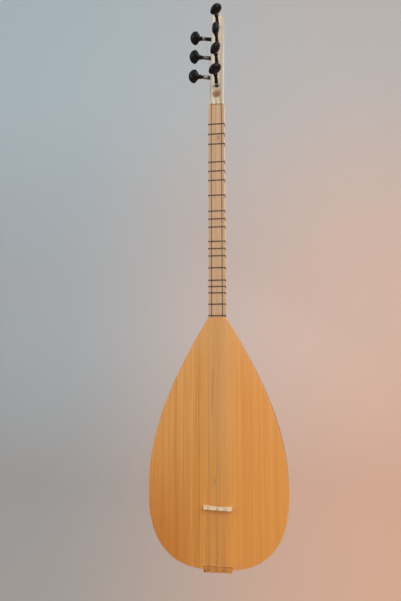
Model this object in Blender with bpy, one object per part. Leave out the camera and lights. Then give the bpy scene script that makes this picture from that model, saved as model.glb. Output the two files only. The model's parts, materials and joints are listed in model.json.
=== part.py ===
"""Short-neck baglama: a bowl-backed lute with seven strings, tied nylon frets and friction pegs.

Everything is drawn in the neck frame. Its origin is where the face of the neck meets the headstock,
+Z runs up the centre line of the neck, +X to the right and -Y out of the soundboard. The headstock has
a frame of its own, tipped back about X, in which +Z runs along the headstock and -Y out of its face.
Both hang from an empty that puts the model's origin on the back of the headstock, where it is hung.
Sizes are in metres and angles in degrees.
"""

import math
from dataclasses import dataclass

import bmesh
import bpy
import numpy as np
from mathutils import Matrix, Vector

# Clearances
GAP = 0.0003
INLAY_FIT = 0.0001
PEG_FIT = 0.0001

# Frets: the string length they are laid out for, and the share of it that each takes off the nut end
STRING_LENGTH = 0.700
FRET_SHARES = (
    1 / 18, 1 / 12, 1 / 9, 13 / 81, 5 / 27, 17 / 81, 1 / 4, 7 / 24, 5 / 16, 1 / 3,
    10 / 27, 7 / 18, 11 / 27, 7 / 16, 15 / 32, 31 / 64, 1 / 2, 19 / 36, 5 / 9,
)

# Neck and fingerboard
NECK_LENGTH = 0.391
NECK_WIDTH = 0.0284
NECK_DEPTH_AT_NUT = 0.0225
NECK_DEPTH_AT_BODY = 0.0265
NECK_FACETS = 10
FINGERBOARD_THICKNESS = 0.003
PURFLING_INSET = 0.0043
PURFLING_WIDTH = 0.0015
PURFLING_THICKNESS = 0.0009
NECK_TENON_WIDTH = 0.013
NECK_TENON_DEPTH = 0.012
NECK_TENON_LENGTH = 0.026

# Body: plan of the soundboard and depth of the bowl, along the centre line from the neck to the tail
BODY_LENGTH = 0.3935
BODY_WIDTH = 0.2226
BODY_WIDEST_AT = 0.272
BODY_SHOULDER_POWER = 0.965
BODY_TAIL_POWERS = (2.45, 2.7)
BOWL_DEPTH = 0.122
BOWL_DEEPEST_AT = 0.262
BOWL_RIDGE_POWER = 1.05
BOWL_TAIL_POWERS = (2.2, 2.2)
SECTION_POWER = 2.3
SECTION_BULGE = 0.08
SOUNDBOARD_THICKNESS = 0.003
STAVE_COUNT = 7
STAVE_THICKNESS = 0.003
STAVE_FACETS = 4
SHOULDER_STATIONS = 10
TAIL_STATIONS = 10
SOUND_HOLE_DIAMETER = 0.014
SOUND_HOLE_AT = 0.335
NECK_BLOCK_LENGTH = 0.050
TAIL_BLOCK_LENGTH = 0.026
UPPER_BRACE_AT = 0.120
LOWER_BRACE_AT = 0.215
BRACE_WIDTH = 0.007
BRACE_HEIGHT = 0.010
BRACE_TIP_HEIGHT = 0.004

# Tailpiece
TAILPIECE_WIDTH = 0.044
TAILPIECE_DROP = 0.0045
TAILPIECE_LIP = 0.0035
TAILPIECE_DEPTH = 0.024
TAILPIECE_SHOULDER = 0.004
TAIL_PIN_HOLE_DIAMETER = 0.0024
TAIL_PIN_HOLE_DEPTH = 0.005
TAIL_PIN_HOLE_INSET = 0.002
TAIL_NOTCH_DEPTH = 0.0012
STRING_TAIL_RETURN = 0.007

# Bridge
BRIDGE_FOOT_WIDTH = 0.0462
BRIDGE_TOP_WIDTH = 0.0416
BRIDGE_HEIGHT = 0.0095
BRIDGE_FOOT_THICKNESS = 0.0062
BRIDGE_TOP_THICKNESS = 0.0032
BRIDGE_AT = 0.6938
BRIDGE_SKEW = 2.5
BRIDGE_TRAVEL_BELOW = 0.0035
BRIDGE_ARCH_WIDTH = 0.026
BRIDGE_ARCH_HEIGHT = 0.0024
BRIDGE_ARCH_STEPS = 6
NOTCH_WIDTH = 0.0014
NOTCH_DEPTH = 0.0006

# Headstock
HEAD_TILT = 10.0
HEAD_LENGTH = 0.222
HEAD_WIDTH_AT_NUT = 0.0244
HEAD_WIDTH_AT_TOP = 0.0232
HEAD_DEPTH = 0.018
HEAD_ROOT_DEPTH = 0.0222
HEAD_ROOT_LENGTH = 0.032
HEAD_ROOT_STEPS = 5
HEAD_CHAMFER = 0.0022
HEAD_BACK_RADIUS = 0.003
HEAD_ROOT_RADIUS = 0.0095
HEAD_END_CHAMFER = 0.0015
HEAD_TENON_WIDTH = 0.010
HEAD_TENON_DEPTH = 0.009
HEAD_TENON_LENGTH = 0.016
SCOOP_WIDTH = 0.0186
SCOOP_LENGTH = HEAD_LENGTH * 0.1059
SCOOP_DEPTH = 0.0032
SCOOP_RISE = 0.0004
SCOOP_AT = HEAD_LENGTH * 0.1207
HANGER_AT = 0.115

# Nut
NUT_THICKNESS = 0.005
NUT_SLOT_DEPTH = 0.003
NUT_HEIGHT = 0.0022

# Pegs: places along the headstock, and the sizes that all seven share
PEG_PITCH = HEAD_LENGTH * 0.2176
FRONT_PEG_COUNT = 4
FRONT_PEG_FIRST = HEAD_LENGTH * 0.1946
FRONT_PEG_OFFSET = 0.0005
FRONT_PEG_REACH = 0.038
FRONT_PEG_TURNS = (28.0, 52.0, 88.0, 35.0)
SIDE_PEG_COUNT = 3
SIDE_PEG_FIRST = HEAD_LENGTH * 0.3221
SIDE_PEG_BACK = 0.0085
SIDE_PEG_LEAN = 12.0
SIDE_PEG_REACH = 0.032
SIDE_PEG_WALL = 0.003
SIDE_PEG_TURNS = (-35.0, -48.0, -51.0)
PEG_HEAD_WIDTH = 0.0245
PEG_HEAD_THICKNESS = 0.014
PEG_HEAD_FLARE = 0.0105
PEG_HEAD_CROWN = 0.0115
PEG_COLLAR_RADIUS = 0.0043
PEG_COLLAR_LENGTH = 0.0025
PEG_WAIST_RADIUS = 0.0030
PEG_TAPER = 0.030
PEG_SIDES = 16
PEG_TIP_RECESS = 0.0005

# Wound strings on the pegs
WINDING_TURNS = 4
WINDING_PITCH = 0.00095
WINDING_POINTS = 12

# Tied frets: two turns of nylon round the neck
FRET_STRAND = 0.0007
FRET_TURNS = 2
FRET_PITCH = 0.00115


@dataclass(frozen=True)
class Course:
    """A group of strings: its name, its thicknesses, and its middle at nut, bridge and tail."""

    name: str
    diameters: tuple
    at_nut: float
    at_bridge: float
    at_tail: float


@dataclass(frozen=True)
class Peg:
    """A peg: its frame in the headstock, its reach to the middle of the head, its depth in the wood."""

    name: str
    place: Matrix
    reach: float
    depth: float
    bore: float
    turn: float
    tangent: float


@dataclass(frozen=True)
class Run:
    """One string: where it crosses tail, bridge and nut, and which peg takes it how far from the wood."""

    name: str
    diameter: float
    tail_x: float
    bridge_x: float
    nut_x: float
    peg: str
    seat: float


STRING_SPACING_AT_NUT = 0.0015
STRING_SPACING_AT_BRIDGE = 0.0022
STRING_SPACING_AT_TAIL = 0.0020
COURSES = (
    Course("bass", (0.00045, 0.0003), -0.0087, -0.0135, -0.0137),
    Course("middle", (0.0004, 0.0004), 0.0, 0.0005, -0.0020),
    Course("treble", (0.0003, 0.0003, 0.0004), 0.0084, 0.0125, 0.0085),
)
STRING_SEATS = {
    "side_peg_1": 0.0040, "side_peg_2": 0.0055, "side_peg_3": 0.0130,
    "front_peg_1": 0.0042, "front_peg_2": 0.0042, "front_peg_3": 0.0042, "front_peg_4": 0.0042,
}

TILT = Matrix.Rotation(math.radians(-HEAD_TILT), 4, "X")
FRETS_Z = [-share * STRING_LENGTH for share in FRET_SHARES]
WOOD_Y = FINGERBOARD_THICKNESS + GAP
BODY_TOP = -NECK_LENGTH
RIM_Y = SOUNDBOARD_THICKNESS + GAP


def clear_scene():
    """Takes out whatever the scene holds."""
    for item in list(bpy.data.objects):
        bpy.data.objects.remove(item, do_unlink=True)


def material(name, colour, roughness, metallic=0.0):
    """Makes a plain Principled material."""
    made = bpy.data.materials.new(name)
    made.use_nodes = True
    made.diffuse_color = (*colour, 1.0)
    shader = made.node_tree.nodes["Principled BSDF"]
    shader.inputs["Base Color"].default_value = (*colour, 1.0)
    shader.inputs["Roughness"].default_value = roughness
    shader.inputs["Metallic"].default_value = metallic
    return made


def empty(name, parent=None, matrix=None):
    """Makes an empty that others are placed by."""
    made = bpy.data.objects.new(name, None)
    bpy.context.scene.collection.objects.link(made)
    made.parent = parent
    if matrix is not None:
        made.matrix_local = matrix
    return made


def solid(name, points, faces, finish, parent, matrix=None, sharp=35.0):
    """Makes a closed mesh object with its faces turned outwards."""
    mesh = bpy.data.meshes.new(name)
    mesh.from_pydata([tuple(p) for p in points], [], faces)
    work = bmesh.new()
    work.from_mesh(mesh)
    bmesh.ops.recalc_face_normals(work, faces=work.faces[:])
    work.to_mesh(mesh)
    work.free()
    mesh.shade_smooth()
    mesh.set_sharp_from_angle(angle=math.radians(sharp))
    made = bpy.data.objects.new(name, mesh)
    bpy.context.scene.collection.objects.link(made)
    if finish is not None:
        mesh.materials.append(finish)
    made.parent = parent
    if matrix is not None:
        made.matrix_local = matrix
    return made


def loft(rings):
    """Joins closed rings of equal count into a tube with flat ends, as points and faces."""
    count = len(rings[0])
    points = [tuple(p) for ring in rings for p in ring]
    faces = []
    for step in range(len(rings) - 1):
        low = step * count
        for i in range(count):
            j = (i + 1) % count
            faces.append((low + i, low + j, low + count + j, low + count + i))
    faces.append(tuple(range(count)))
    faces.append(tuple(range(len(points) - count, len(points))))
    return points, faces


def merge(parts):
    """Puts several lofts into one list of points and faces, as separate bodies."""
    points = []
    faces = []
    for some_points, some_faces in parts:
        start = len(points)
        points.extend(some_points)
        faces.extend(tuple(start + i for i in face) for face in some_faces)
    return points, faces


def box(low, high):
    """A box between two corners, as points and faces."""
    x0, y0, z0 = low
    x1, y1, z1 = high
    return loft([[(x0, y0, z), (x1, y0, z), (x1, y1, z), (x0, y1, z)] for z in (z0, z1)])


def moved(shape, matrix):
    """The same points and faces, carried by a matrix."""
    points, faces = shape
    return [tuple(matrix @ Vector(p)) for p in points], faces


def combine(target, shape, operation, parent):
    """Cuts a shape out of an object, or adds it, with a hidden tool and a Boolean modifier."""
    tool = solid(target.name + "_" + operation.lower(), *shape, None, parent)
    tool.hide_render = True
    tool.display_type = "WIRE"
    change = target.modifiers.new(operation.lower(), "BOOLEAN")
    change.operation = operation
    change.solver = "EXACT"
    change.object = tool


def tube(name, points, diameter, finish, parent, matrix=None, sides=0):
    """Makes an unbroken round cord through the points, with closed ends."""
    curve = bpy.data.curves.new(name, "CURVE")
    curve.dimensions = "3D"
    curve.bevel_depth = diameter / 2
    curve.bevel_resolution = sides
    curve.use_fill_caps = True
    spline = curve.splines.new("POLY")
    spline.points.add(len(points) - 1)
    for knot, place in zip(spline.points, points):
        knot.co = (*place, 1.0)
    curve.materials.append(finish)
    made = bpy.data.objects.new(name, curve)
    bpy.context.scene.collection.objects.link(made)
    made.parent = parent
    if matrix is not None:
        made.matrix_local = matrix
    return made


def least_gap(points, diameter, per_turn):
    """The least room between a wound cord and its own next turns, measured on its points."""
    places = np.array(points)
    apart = np.linalg.norm(places[:, None, :] - places[None, :, :], axis=2)
    steps = np.abs(np.subtract.outer(np.arange(len(places)), np.arange(len(places))))
    return apart[steps > per_turn // 2].min() - diameter


# The plan and section of the body


def tail_share(run, powers):
    """Falls from 1 to 0 as run goes from 0 to 1, full at first and round at the end."""
    along, across = powers
    return (1 - min(run, 1.0) ** along) ** (1 / across)


def half_width(s):
    """Half the soundboard's width at s from the neck."""
    start = NECK_WIDTH / 2
    widest = BODY_WIDTH / 2
    if s <= BODY_WIDEST_AT:
        rise = math.sin(math.pi / 2 * s / BODY_WIDEST_AT) ** BODY_SHOULDER_POWER
        return start + (widest - start) * rise
    run = (s - BODY_WIDEST_AT) / (BODY_LENGTH - BODY_WIDEST_AT)
    return widest * tail_share(run, BODY_TAIL_POWERS)


def bowl_depth(s):
    """Depth of the bowl below its rim at s from the neck."""
    start = NECK_DEPTH_AT_BODY - WOOD_Y
    if s <= BOWL_DEEPEST_AT:
        rise = math.sin(math.pi / 2 * s / BOWL_DEEPEST_AT) ** BOWL_RIDGE_POWER
        return start + (BOWL_DEPTH - start) * rise
    run = (s - BOWL_DEEPEST_AT) / (BODY_LENGTH - BOWL_DEEPEST_AT)
    return BOWL_DEPTH * tail_share(run, BOWL_TAIL_POWERS)


def flat_end():
    """How far from the neck the tail is cut flat: where the plan is wide enough to seat the tailpiece."""
    along, across = BODY_TAIL_POWERS
    seat = TAILPIECE_WIDTH / 2 + TAILPIECE_SHOULDER
    run = (1 - (seat / (BODY_WIDTH / 2)) ** across) ** (1 / along)
    return BODY_WIDEST_AT + (BODY_LENGTH - BODY_WIDEST_AT) * run


BODY_END = flat_end()


def section(half, depth, turn):
    """A point round the back of a section, from its right rim at turn 0 to its left rim at pi.

    The section is a rounded ellipse that swells a little past its rim.
    """
    power = 2 / SECTION_POWER
    across = abs(math.cos(turn)) ** power * math.copysign(1.0, math.cos(turn))
    down = max(math.sin(turn), 0.0) ** power
    swell = 1 + SECTION_BULGE * abs(math.sin(2 * turn))
    return half * across * swell, depth * down


def stave_edges():
    """The turns that part the staves, equally wide at the widest section."""
    turns = np.linspace(0, math.pi, 721)
    places = np.array([section(BODY_WIDTH / 2, BOWL_DEPTH, turn) for turn in turns])
    run = np.concatenate([[0], np.cumsum(np.linalg.norm(np.diff(places, axis=0), axis=1))])
    return np.interp(np.linspace(0, run[-1], STAVE_COUNT + 1), run, turns)


def stations():
    """Places along the body where the bowl's section is drawn, closer together at the tail."""
    shoulder = [BODY_WIDEST_AT * i / SHOULDER_STATIONS for i in range(SHOULDER_STATIONS)]
    lean = [math.pi / 2 * i / TAIL_STATIONS for i in range(TAIL_STATIONS + 1)]
    tail = [BODY_WIDEST_AT + (BODY_END - BODY_WIDEST_AT) * math.sin(angle) for angle in lean]
    return shoulder + tail


STATIONS = stations()
STAVE_EDGES = stave_edges()


def bowl_place(s, turn, inset):
    """A point of the bowl at station s and turn, moved in from its outer face, as x and y."""
    x, y = section(half_width(s) - inset, bowl_depth(s) - inset, turn)
    return x, RIM_Y + y


def inner_ring(s, inset, turns):
    """The bowl's section between two stations, straight from one to the next as the staves are."""
    high = min(max(np.searchsorted(STATIONS, s), 1), len(STATIONS) - 1)
    low = high - 1
    share = (s - STATIONS[low]) / (STATIONS[high] - STATIONS[low])
    near = np.array([bowl_place(STATIONS[low], turn, inset) for turn in turns])
    far = np.array([bowl_place(STATIONS[high], turn, inset) for turn in turns])
    return near + (far - near) * share


def block_rings(start, end):
    """Rings of a block that fills the bowl from one place to another, inside the staves."""
    inset = STAVE_THICKNESS + GAP
    turns = np.concatenate([np.linspace(low, high, STAVE_FACETS + 1)[:-1]
                            for low, high in zip(STAVE_EDGES, STAVE_EDGES[1:])] + [[math.pi]])
    places = [start] + [s for s in STATIONS if start < s < end] + [end]
    return [[(x, y, BODY_TOP - s) for x, y in inner_ring(s, inset, turns)] for s in places]


# Sub-parts of the body


def soundboard(finish, datum):
    """The flat spruce top, with a notch at its tail for the tailpiece's lip."""
    steps = 4 * SHOULDER_STATIONS
    shoulder = [BODY_WIDEST_AT * i / (steps / 2) for i in range(steps // 2)]
    lean = [math.pi / 2 * i / (steps / 2) for i in range(steps // 2 + 1)]
    tail = [BODY_WIDEST_AT + (BODY_END - BODY_WIDEST_AT) * math.sin(angle) for angle in lean]
    right = [(half_width(s), BODY_TOP - s) for s in shoulder + tail]
    notch = TAILPIECE_WIDTH / 2 + GAP
    lip = BODY_TOP - BODY_END + TAILPIECE_LIP + GAP
    end = BODY_TOP - BODY_END
    corners = [(notch, end), (notch, lip), (-notch, lip), (-notch, end)]
    outline = right + corners + [(-x, z) for x, z in reversed(right)]
    rings = [[(x, y, z) for x, z in outline] for y in (0.0, SOUNDBOARD_THICKNESS)]
    return solid("soundboard", *loft(rings), finish, datum)


def stave(number, finish, datum):
    """One bent stave of the bowl, of even thickness, with half the glue line left at each side."""
    name = f"bowl_stave_{number + 1}"
    rings = []
    for s in STATIONS:
        limits = []
        for edge, way in ((STAVE_EDGES[number], 1), (STAVE_EDGES[number + 1], -1)):
            if number + (way < 0) in (0, STAVE_COUNT):
                limits.append(edge)
                continue
            nearby = np.array([bowl_place(s, edge + step, STAVE_THICKNESS) for step in (-0.01, 0.01)])
            speed = np.linalg.norm(nearby[1] - nearby[0]) / 0.02
            limits.append(edge + way * GAP / 2 / speed)
        turns = np.linspace(*limits, STAVE_FACETS + 1)
        outer = [(*bowl_place(s, turn, 0.0), BODY_TOP - s) for turn in turns]
        inner = [(*bowl_place(s, turn, STAVE_THICKNESS), BODY_TOP - s) for turn in reversed(turns)]
        rings.append(outer + inner)
    made = solid(name, *loft(rings), finish, datum)
    if number == STAVE_COUNT // 2:
        sides = 2 * PEG_SIDES
        radius = SOUND_HOLE_DIAMETER / 2
        rim = [(radius * math.cos(2 * math.pi * i / sides), radius * math.sin(2 * math.pi * i / sides))
               for i in range(sides)]
        hole = [[(x, y, BODY_TOP - SOUND_HOLE_AT + z) for x, z in rim]
                for y in (BOWL_DEPTH / 2, BOWL_DEPTH * 1.5)]
        combine(made, loft(hole), "DIFFERENCE", datum)
    return made


def neck_tenon(room):
    """The tongue on the neck's lower end, or its mortise when room is added all round."""
    half = NECK_TENON_WIDTH / 2 + room
    middle = (WOOD_Y + NECK_DEPTH_AT_BODY) / 2
    depth = NECK_TENON_DEPTH / 2 + room
    return half, middle - depth, middle + depth, BODY_TOP - NECK_TENON_LENGTH - room


def neck_block(finish, datum):
    """The block that joins neck and bowl, mortised for the neck's tenon."""
    made = solid("neck_block", *loft(block_rings(GAP, NECK_BLOCK_LENGTH)), finish, datum)
    half, near, far, end = neck_tenon(GAP)
    combine(made, box((-half, near, end), (half, far, BODY_TOP + GAP)), "DIFFERENCE", datum)
    return made


def tail_block(finish, datum):
    """The block that the staves and the tailpiece are glued to."""
    return solid("tail_block", *loft(block_rings(BODY_END - TAIL_BLOCK_LENGTH, BODY_END)), finish, datum)


def brace(name, place, finish, datum):
    """A bar under the soundboard, thinner towards its ends, which meet the bowl's inner face."""
    turns = np.linspace(0, math.pi / 2, 61)
    sides = (place - BRACE_WIDTH / 2, place + BRACE_WIDTH / 2)
    reach = []
    for s in sides:
        ring = inner_ring(s, STAVE_THICKNESS + GAP, turns)
        reach.append(np.interp(RIM_Y + BRACE_TIP_HEIGHT, ring[:, 1], ring[:, 0]))
        reach.append(ring[0, 0])
    half = min(reach)
    slope = BRACE_HEIGHT * 3
    profile = [(-half, RIM_Y), (half, RIM_Y), (half, RIM_Y + BRACE_TIP_HEIGHT),
               (half - slope, RIM_Y + BRACE_HEIGHT), (slope - half, RIM_Y + BRACE_HEIGHT),
               (-half, RIM_Y + BRACE_TIP_HEIGHT)]
    return solid(name, *loft([[(x, y, BODY_TOP - s) for x, y in profile] for s in sides]), finish, datum)


def tailpiece(runs, finish, datum):
    """The block at the tail: a lip let into the soundboard and a deeper foot, notched for the strings."""
    half = TAILPIECE_WIDTH / 2
    end = BODY_TOP - BODY_END
    low = end - GAP - TAILPIECE_DROP
    round_off = TAILPIECE_DROP / 3
    profile = [(0.0, end + TAILPIECE_LIP), (SOUNDBOARD_THICKNESS, end + TAILPIECE_LIP),
               (SOUNDBOARD_THICKNESS, end - GAP), (TAILPIECE_DEPTH, end - GAP),
               (TAILPIECE_DEPTH, low + round_off), (TAILPIECE_DEPTH - round_off, low), (0.0, low)]
    made = solid("tailpiece", *loft([[(x, y, z) for y, z in profile] for x in (-half, half)]), finish, datum)
    radius = TAIL_PIN_HOLE_DIAMETER / 2
    centre = (TAIL_PIN_HOLE_INSET - half, low + TAIL_PIN_HOLE_INSET)
    rim = [(centre[0] + radius * math.cos(math.pi * i / 6), centre[1] + radius * math.sin(math.pi * i / 6))
           for i in range(12)]
    hole = loft([[(x, y, z) for x, z in rim] for y in (-GAP, TAIL_PIN_HOLE_DEPTH)])
    half = NOTCH_WIDTH / 2
    notches = [box((run.tail_x - half, -GAP, low - GAP),
                   (run.tail_x + half, STRING_TAIL_RETURN + GAP, low + TAIL_NOTCH_DEPTH)) for run in runs]
    combine(made, merge([hole] + notches), "DIFFERENCE", datum)
    return made


# Bridge and nut


def notched_top(height, left, right, places):
    """The upper edge of a bridge or nut from right to left, with a square notch under each string."""
    edge = [(right, height)]
    for x in sorted(places, reverse=True):
        edge += [(x + NOTCH_WIDTH / 2, height), (x + NOTCH_WIDTH / 2, height - NOTCH_DEPTH),
                 (x - NOTCH_WIDTH / 2, height - NOTCH_DEPTH), (x - NOTCH_WIDTH / 2, height)]
    return edge + [(left, height)]


def bridge(runs, finish, datum):
    """The loose bridge, a little askew: two feet with an arch between, thinning towards its notched top."""
    foot = BRIDGE_FOOT_WIDTH / 2
    top = BRIDGE_TOP_WIDTH / 2
    arch = [(-BRIDGE_ARCH_WIDTH / 2 * math.cos(math.pi * i / BRIDGE_ARCH_STEPS),
             BRIDGE_ARCH_HEIGHT * math.sin(math.pi * i / BRIDGE_ARCH_STEPS))
            for i in range(BRIDGE_ARCH_STEPS + 1)]
    outline = [(-foot, 0.0)] + arch + [(foot, 0.0)]
    outline += notched_top(BRIDGE_HEIGHT, -top, top, [run.bridge_x for run in runs])
    rings = []
    for side in (-1, 1):
        ring = []
        for x, h in outline:
            share = h / BRIDGE_HEIGHT
            thickness = BRIDGE_FOOT_THICKNESS + (BRIDGE_TOP_THICKNESS - BRIDGE_FOOT_THICKNESS) * share
            ring.append((x, -h, side * thickness / 2))
        rings.append(ring)
    place = Matrix.Translation((0.0, -GAP, -BRIDGE_AT)) @ Matrix.Rotation(math.radians(BRIDGE_SKEW), 4, "Y")
    return solid("bridge", *loft(rings), finish, datum, place)


def nut(runs, finish, head):
    """The nut, let into a slot at the headstock's root, as wide as the headstock."""
    half = head_half_width(0.0)
    outline = [(-half, GAP - NUT_SLOT_DEPTH), (half, GAP - NUT_SLOT_DEPTH)]
    outline += notched_top(NUT_HEIGHT, -half, half, [run.nut_x for run in runs])
    rings = [[(x, -h, z) for x, h in outline] for z in (GAP, GAP + NUT_THICKNESS)]
    return solid("nut", *loft(rings), finish, head)


# Neck, fingerboard and headstock


def neck_depth(z):
    """Depth of the neck under its face plane, from nut to body."""
    share = -z / NECK_LENGTH
    return NECK_DEPTH_AT_NUT + (NECK_DEPTH_AT_BODY - NECK_DEPTH_AT_NUT) * share


def neck_profile(z):
    """The neck's wood under the fingerboard at height z, from its right edge round to its left."""
    turns = [math.pi * i / NECK_FACETS for i in range(NECK_FACETS + 1)]
    places = [section(NECK_WIDTH / 2, neck_depth(z) - WOOD_Y, turn) for turn in turns]
    return [(x, WOOD_Y + y) for x, y in places]


def on_root_plane(places):
    """Puts a neck ring on the slanted plane where the headstock is joined."""
    slant = math.tan(math.radians(HEAD_TILT))
    return [(x, y, -y * slant - GAP) for x, y in places]


def head_tenon(room):
    """The tongue at the headstock's root, or its mortise when room is added all round."""
    half = HEAD_TENON_WIDTH / 2 + room
    depth = HEAD_TENON_DEPTH / 2 + room
    middle = (WOOD_Y + HEAD_ROOT_DEPTH) / 2
    return half, middle - depth, middle + depth, -HEAD_TENON_LENGTH - room


def neck(finish, datum, head):
    """The neck: a rounded back under a flat face, a tenon below and a mortise above."""
    rings = [on_root_plane(neck_profile(0.0))]
    rings.append([(x, y, BODY_TOP + GAP) for x, y in neck_profile(BODY_TOP)])
    made = solid("neck", *loft(rings), finish, datum)
    half, near, far, end = neck_tenon(0.0)
    tongue = box((-half, near, end), (half, far, BODY_TOP + NECK_TENON_LENGTH))
    combine(made, tongue, "UNION", datum)
    half, near, far, end = head_tenon(GAP)
    combine(made, box((-half, near, end), (half, far, HEAD_TENON_LENGTH)), "DIFFERENCE", head)
    return made


def purfling_edges(room):
    """The inner and outer x of the right-hand purfling strip, with room at its sides."""
    outer = NECK_WIDTH / 2 - PURFLING_INSET
    return outer - PURFLING_WIDTH - room, outer + room


def fingerboard(finish, datum):
    """The flat playing face, grooved for two strips of purfling."""
    half = NECK_WIDTH / 2
    inner, outer = purfling_edges(INLAY_FIT)
    floor = PURFLING_THICKNESS + INLAY_FIT
    right = [(inner, 0.0), (inner, floor), (outer, floor), (outer, 0.0), (half, 0.0),
             (half, FINGERBOARD_THICKNESS)]
    outline = right + [(-x, y) for x, y in reversed(right)]
    rings = [on_root_plane(outline), [(x, y, BODY_TOP + GAP) for x, y in outline]]
    return solid("fingerboard", *loft(rings), finish, datum)


def purfling(name, side, finish, datum):
    """A dark strip let into the fingerboard on one side, -1 for the left and 1 for the right."""
    inner, outer = purfling_edges(0.0)
    outline = [(side * inner, 0.0), (side * outer, 0.0), (side * outer, PURFLING_THICKNESS),
               (side * inner, PURFLING_THICKNESS)]
    rings = [on_root_plane(outline), [(x, y, BODY_TOP + GAP) for x, y in outline]]
    return solid(name, *loft(rings), finish, datum)


def head_half_width(s):
    """Half the headstock's width at s from the nut."""
    share = s / HEAD_LENGTH
    return (HEAD_WIDTH_AT_NUT + (HEAD_WIDTH_AT_TOP - HEAD_WIDTH_AT_NUT) * share) / 2


def head_ring(s, inset):
    """The headstock's section: chamfered in front, rounded behind, deeper and rounder at its root."""
    root = max(0.0, 1 - s / HEAD_ROOT_LENGTH) ** 2
    depth = HEAD_DEPTH + (HEAD_ROOT_DEPTH - HEAD_DEPTH) * root - inset
    radius = HEAD_BACK_RADIUS + (HEAD_ROOT_RADIUS - HEAD_BACK_RADIUS) * root
    half = head_half_width(s) - inset
    right = [(half - HEAD_CHAMFER, inset), (half, inset + HEAD_CHAMFER)]
    for i in range(4):
        turn = math.radians(30 * i)
        right.append((half - radius + radius * math.cos(turn), depth - radius + radius * math.sin(turn)))
    outline = right + [(-x, y) for x, y in reversed(right)]
    return [(x, y, s) for x, y in outline]


def peg_hole(peg):
    """The tapered hole for a peg, just wider than the peg at any turn."""
    widen = 1 / math.cos(math.pi / PEG_SIDES)
    rings = []
    for place in (-peg.bore, HEAD_CHAMFER):
        radius = (shaft_radius(peg, place) + PEG_FIT) * widen
        rings.append(circle(radius, radius, place))
    return moved(loft(rings), peg.place)


def scoop():
    """The hollow below the lowest peg: a shallow ellipsoid sunk in the headstock's face."""
    rings = []
    steps = 8
    for i in range(1, steps):
        angle = math.pi * i / steps
        place = SCOOP_AT - SCOOP_LENGTH / 2 * math.cos(angle)
        ring = circle(SCOOP_WIDTH / 2 * math.sin(angle), SCOOP_DEPTH * math.sin(angle), 0.0)
        rings.append([(x, y - SCOOP_RISE, place) for x, y, _ in ring])
    return loft(rings)


def headstock(pegs, finish, head):
    """The headstock, tipped back from the neck and bored for its pegs."""
    places = [HEAD_ROOT_LENGTH * i / HEAD_ROOT_STEPS for i in range(HEAD_ROOT_STEPS + 1)]
    places.append(HEAD_LENGTH - HEAD_END_CHAMFER)
    rings = [head_ring(s, 0.0) for s in places] + [head_ring(HEAD_LENGTH, HEAD_END_CHAMFER)]
    made = solid("headstock", *loft(rings), finish, head)
    half, near, far, end = head_tenon(0.0)
    combine(made, box((-half, near, end), (half, far, HEAD_TENON_LENGTH)), "UNION", head)
    side = HEAD_WIDTH_AT_NUT
    slot = box((-side, -NUT_HEIGHT, -GAP), (side, NUT_SLOT_DEPTH, 2 * GAP + NUT_THICKNESS))
    combine(made, scoop(), "DIFFERENCE", head)
    combine(made, merge([slot] + [peg_hole(peg) for peg in pegs]), "DIFFERENCE", head)
    return made


# Pegs, windings, strings and frets


def circle(wide, thick, z):
    """A ring of points on an ellipse in the XY plane."""
    turns = [2 * math.pi * i / PEG_SIDES for i in range(PEG_SIDES)]
    return [(wide * math.cos(turn), thick * math.sin(turn), z) for turn in turns]


def collar_place(peg):
    """Where a peg's shaft ends and its collar starts, out from the wood."""
    return peg.reach - PEG_HEAD_FLARE - PEG_COLLAR_LENGTH


def shaft_radius(peg, place):
    """A peg's radius at a place along it, thicker towards its tip by an even taper."""
    return PEG_WAIST_RADIUS + PEG_TAPER * (collar_place(peg) - place)


def build_peg(peg, finish, head):
    """A turned peg: tapered shaft, small collar, and a head that flares to a flat disc."""
    start = collar_place(peg)
    flare = start + PEG_COLLAR_LENGTH
    tip = shaft_radius(peg, -peg.depth)
    rings = [circle(tip, tip, PEG_TIP_RECESS - peg.depth)]
    rings.append(circle(PEG_WAIST_RADIUS, PEG_WAIST_RADIUS, start))
    for share in (0.35, 0.8):
        rings.append(circle(PEG_COLLAR_RADIUS, PEG_COLLAR_RADIUS, start + share * PEG_COLLAR_LENGTH))
    waist = 0.9 * PEG_COLLAR_RADIUS
    for step in range(5):
        swell = (1 - math.cos(math.pi * step / 4)) / 2
        wide = waist + (PEG_HEAD_WIDTH / 2 - waist) * swell
        thick = waist + (PEG_HEAD_THICKNESS / 2 - waist) * swell
        rings.append(circle(wide, thick, flare + PEG_HEAD_FLARE * step / 4))
    for angle in (25, 50, 72):
        turn = math.radians(angle)
        wide = PEG_HEAD_WIDTH / 2 * math.cos(turn)
        thick = PEG_HEAD_THICKNESS / 2 * math.cos(turn)
        rings.append(circle(wide, thick, peg.reach + PEG_HEAD_CROWN * math.sin(turn)))
    place = peg.place @ Matrix.Rotation(math.radians(peg.turn), 4, "Z")
    return solid(peg.name, *loft(rings), finish, head, place)


def wound_radius(peg, place, diameter):
    """Radius at which a string of some thickness lies on a peg."""
    return shaft_radius(peg, place) + GAP + diameter / 2


def winding(run, peg, finish, head):
    """The turns of string on a peg, as one helix that starts beside the incoming string."""
    start = run.seat + run.diameter + GAP
    count = WINDING_TURNS * WINDING_POINTS
    points = []
    for i in range(count + 1):
        turn = math.radians(peg.tangent) + 2 * math.pi * i / WINDING_POINTS
        place = start + WINDING_PITCH * i / WINDING_POINTS
        radius = wound_radius(peg, place, run.diameter)
        points.append((radius * math.cos(turn), radius * math.sin(turn), place))
    gap = least_gap(points, run.diameter, WINDING_POINTS)
    print(f"{run.name}_winding: least gap to itself {gap * 1000:.2f} mm")
    return tube(run.name + "_winding", points, run.diameter, finish, head, peg.place)


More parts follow.
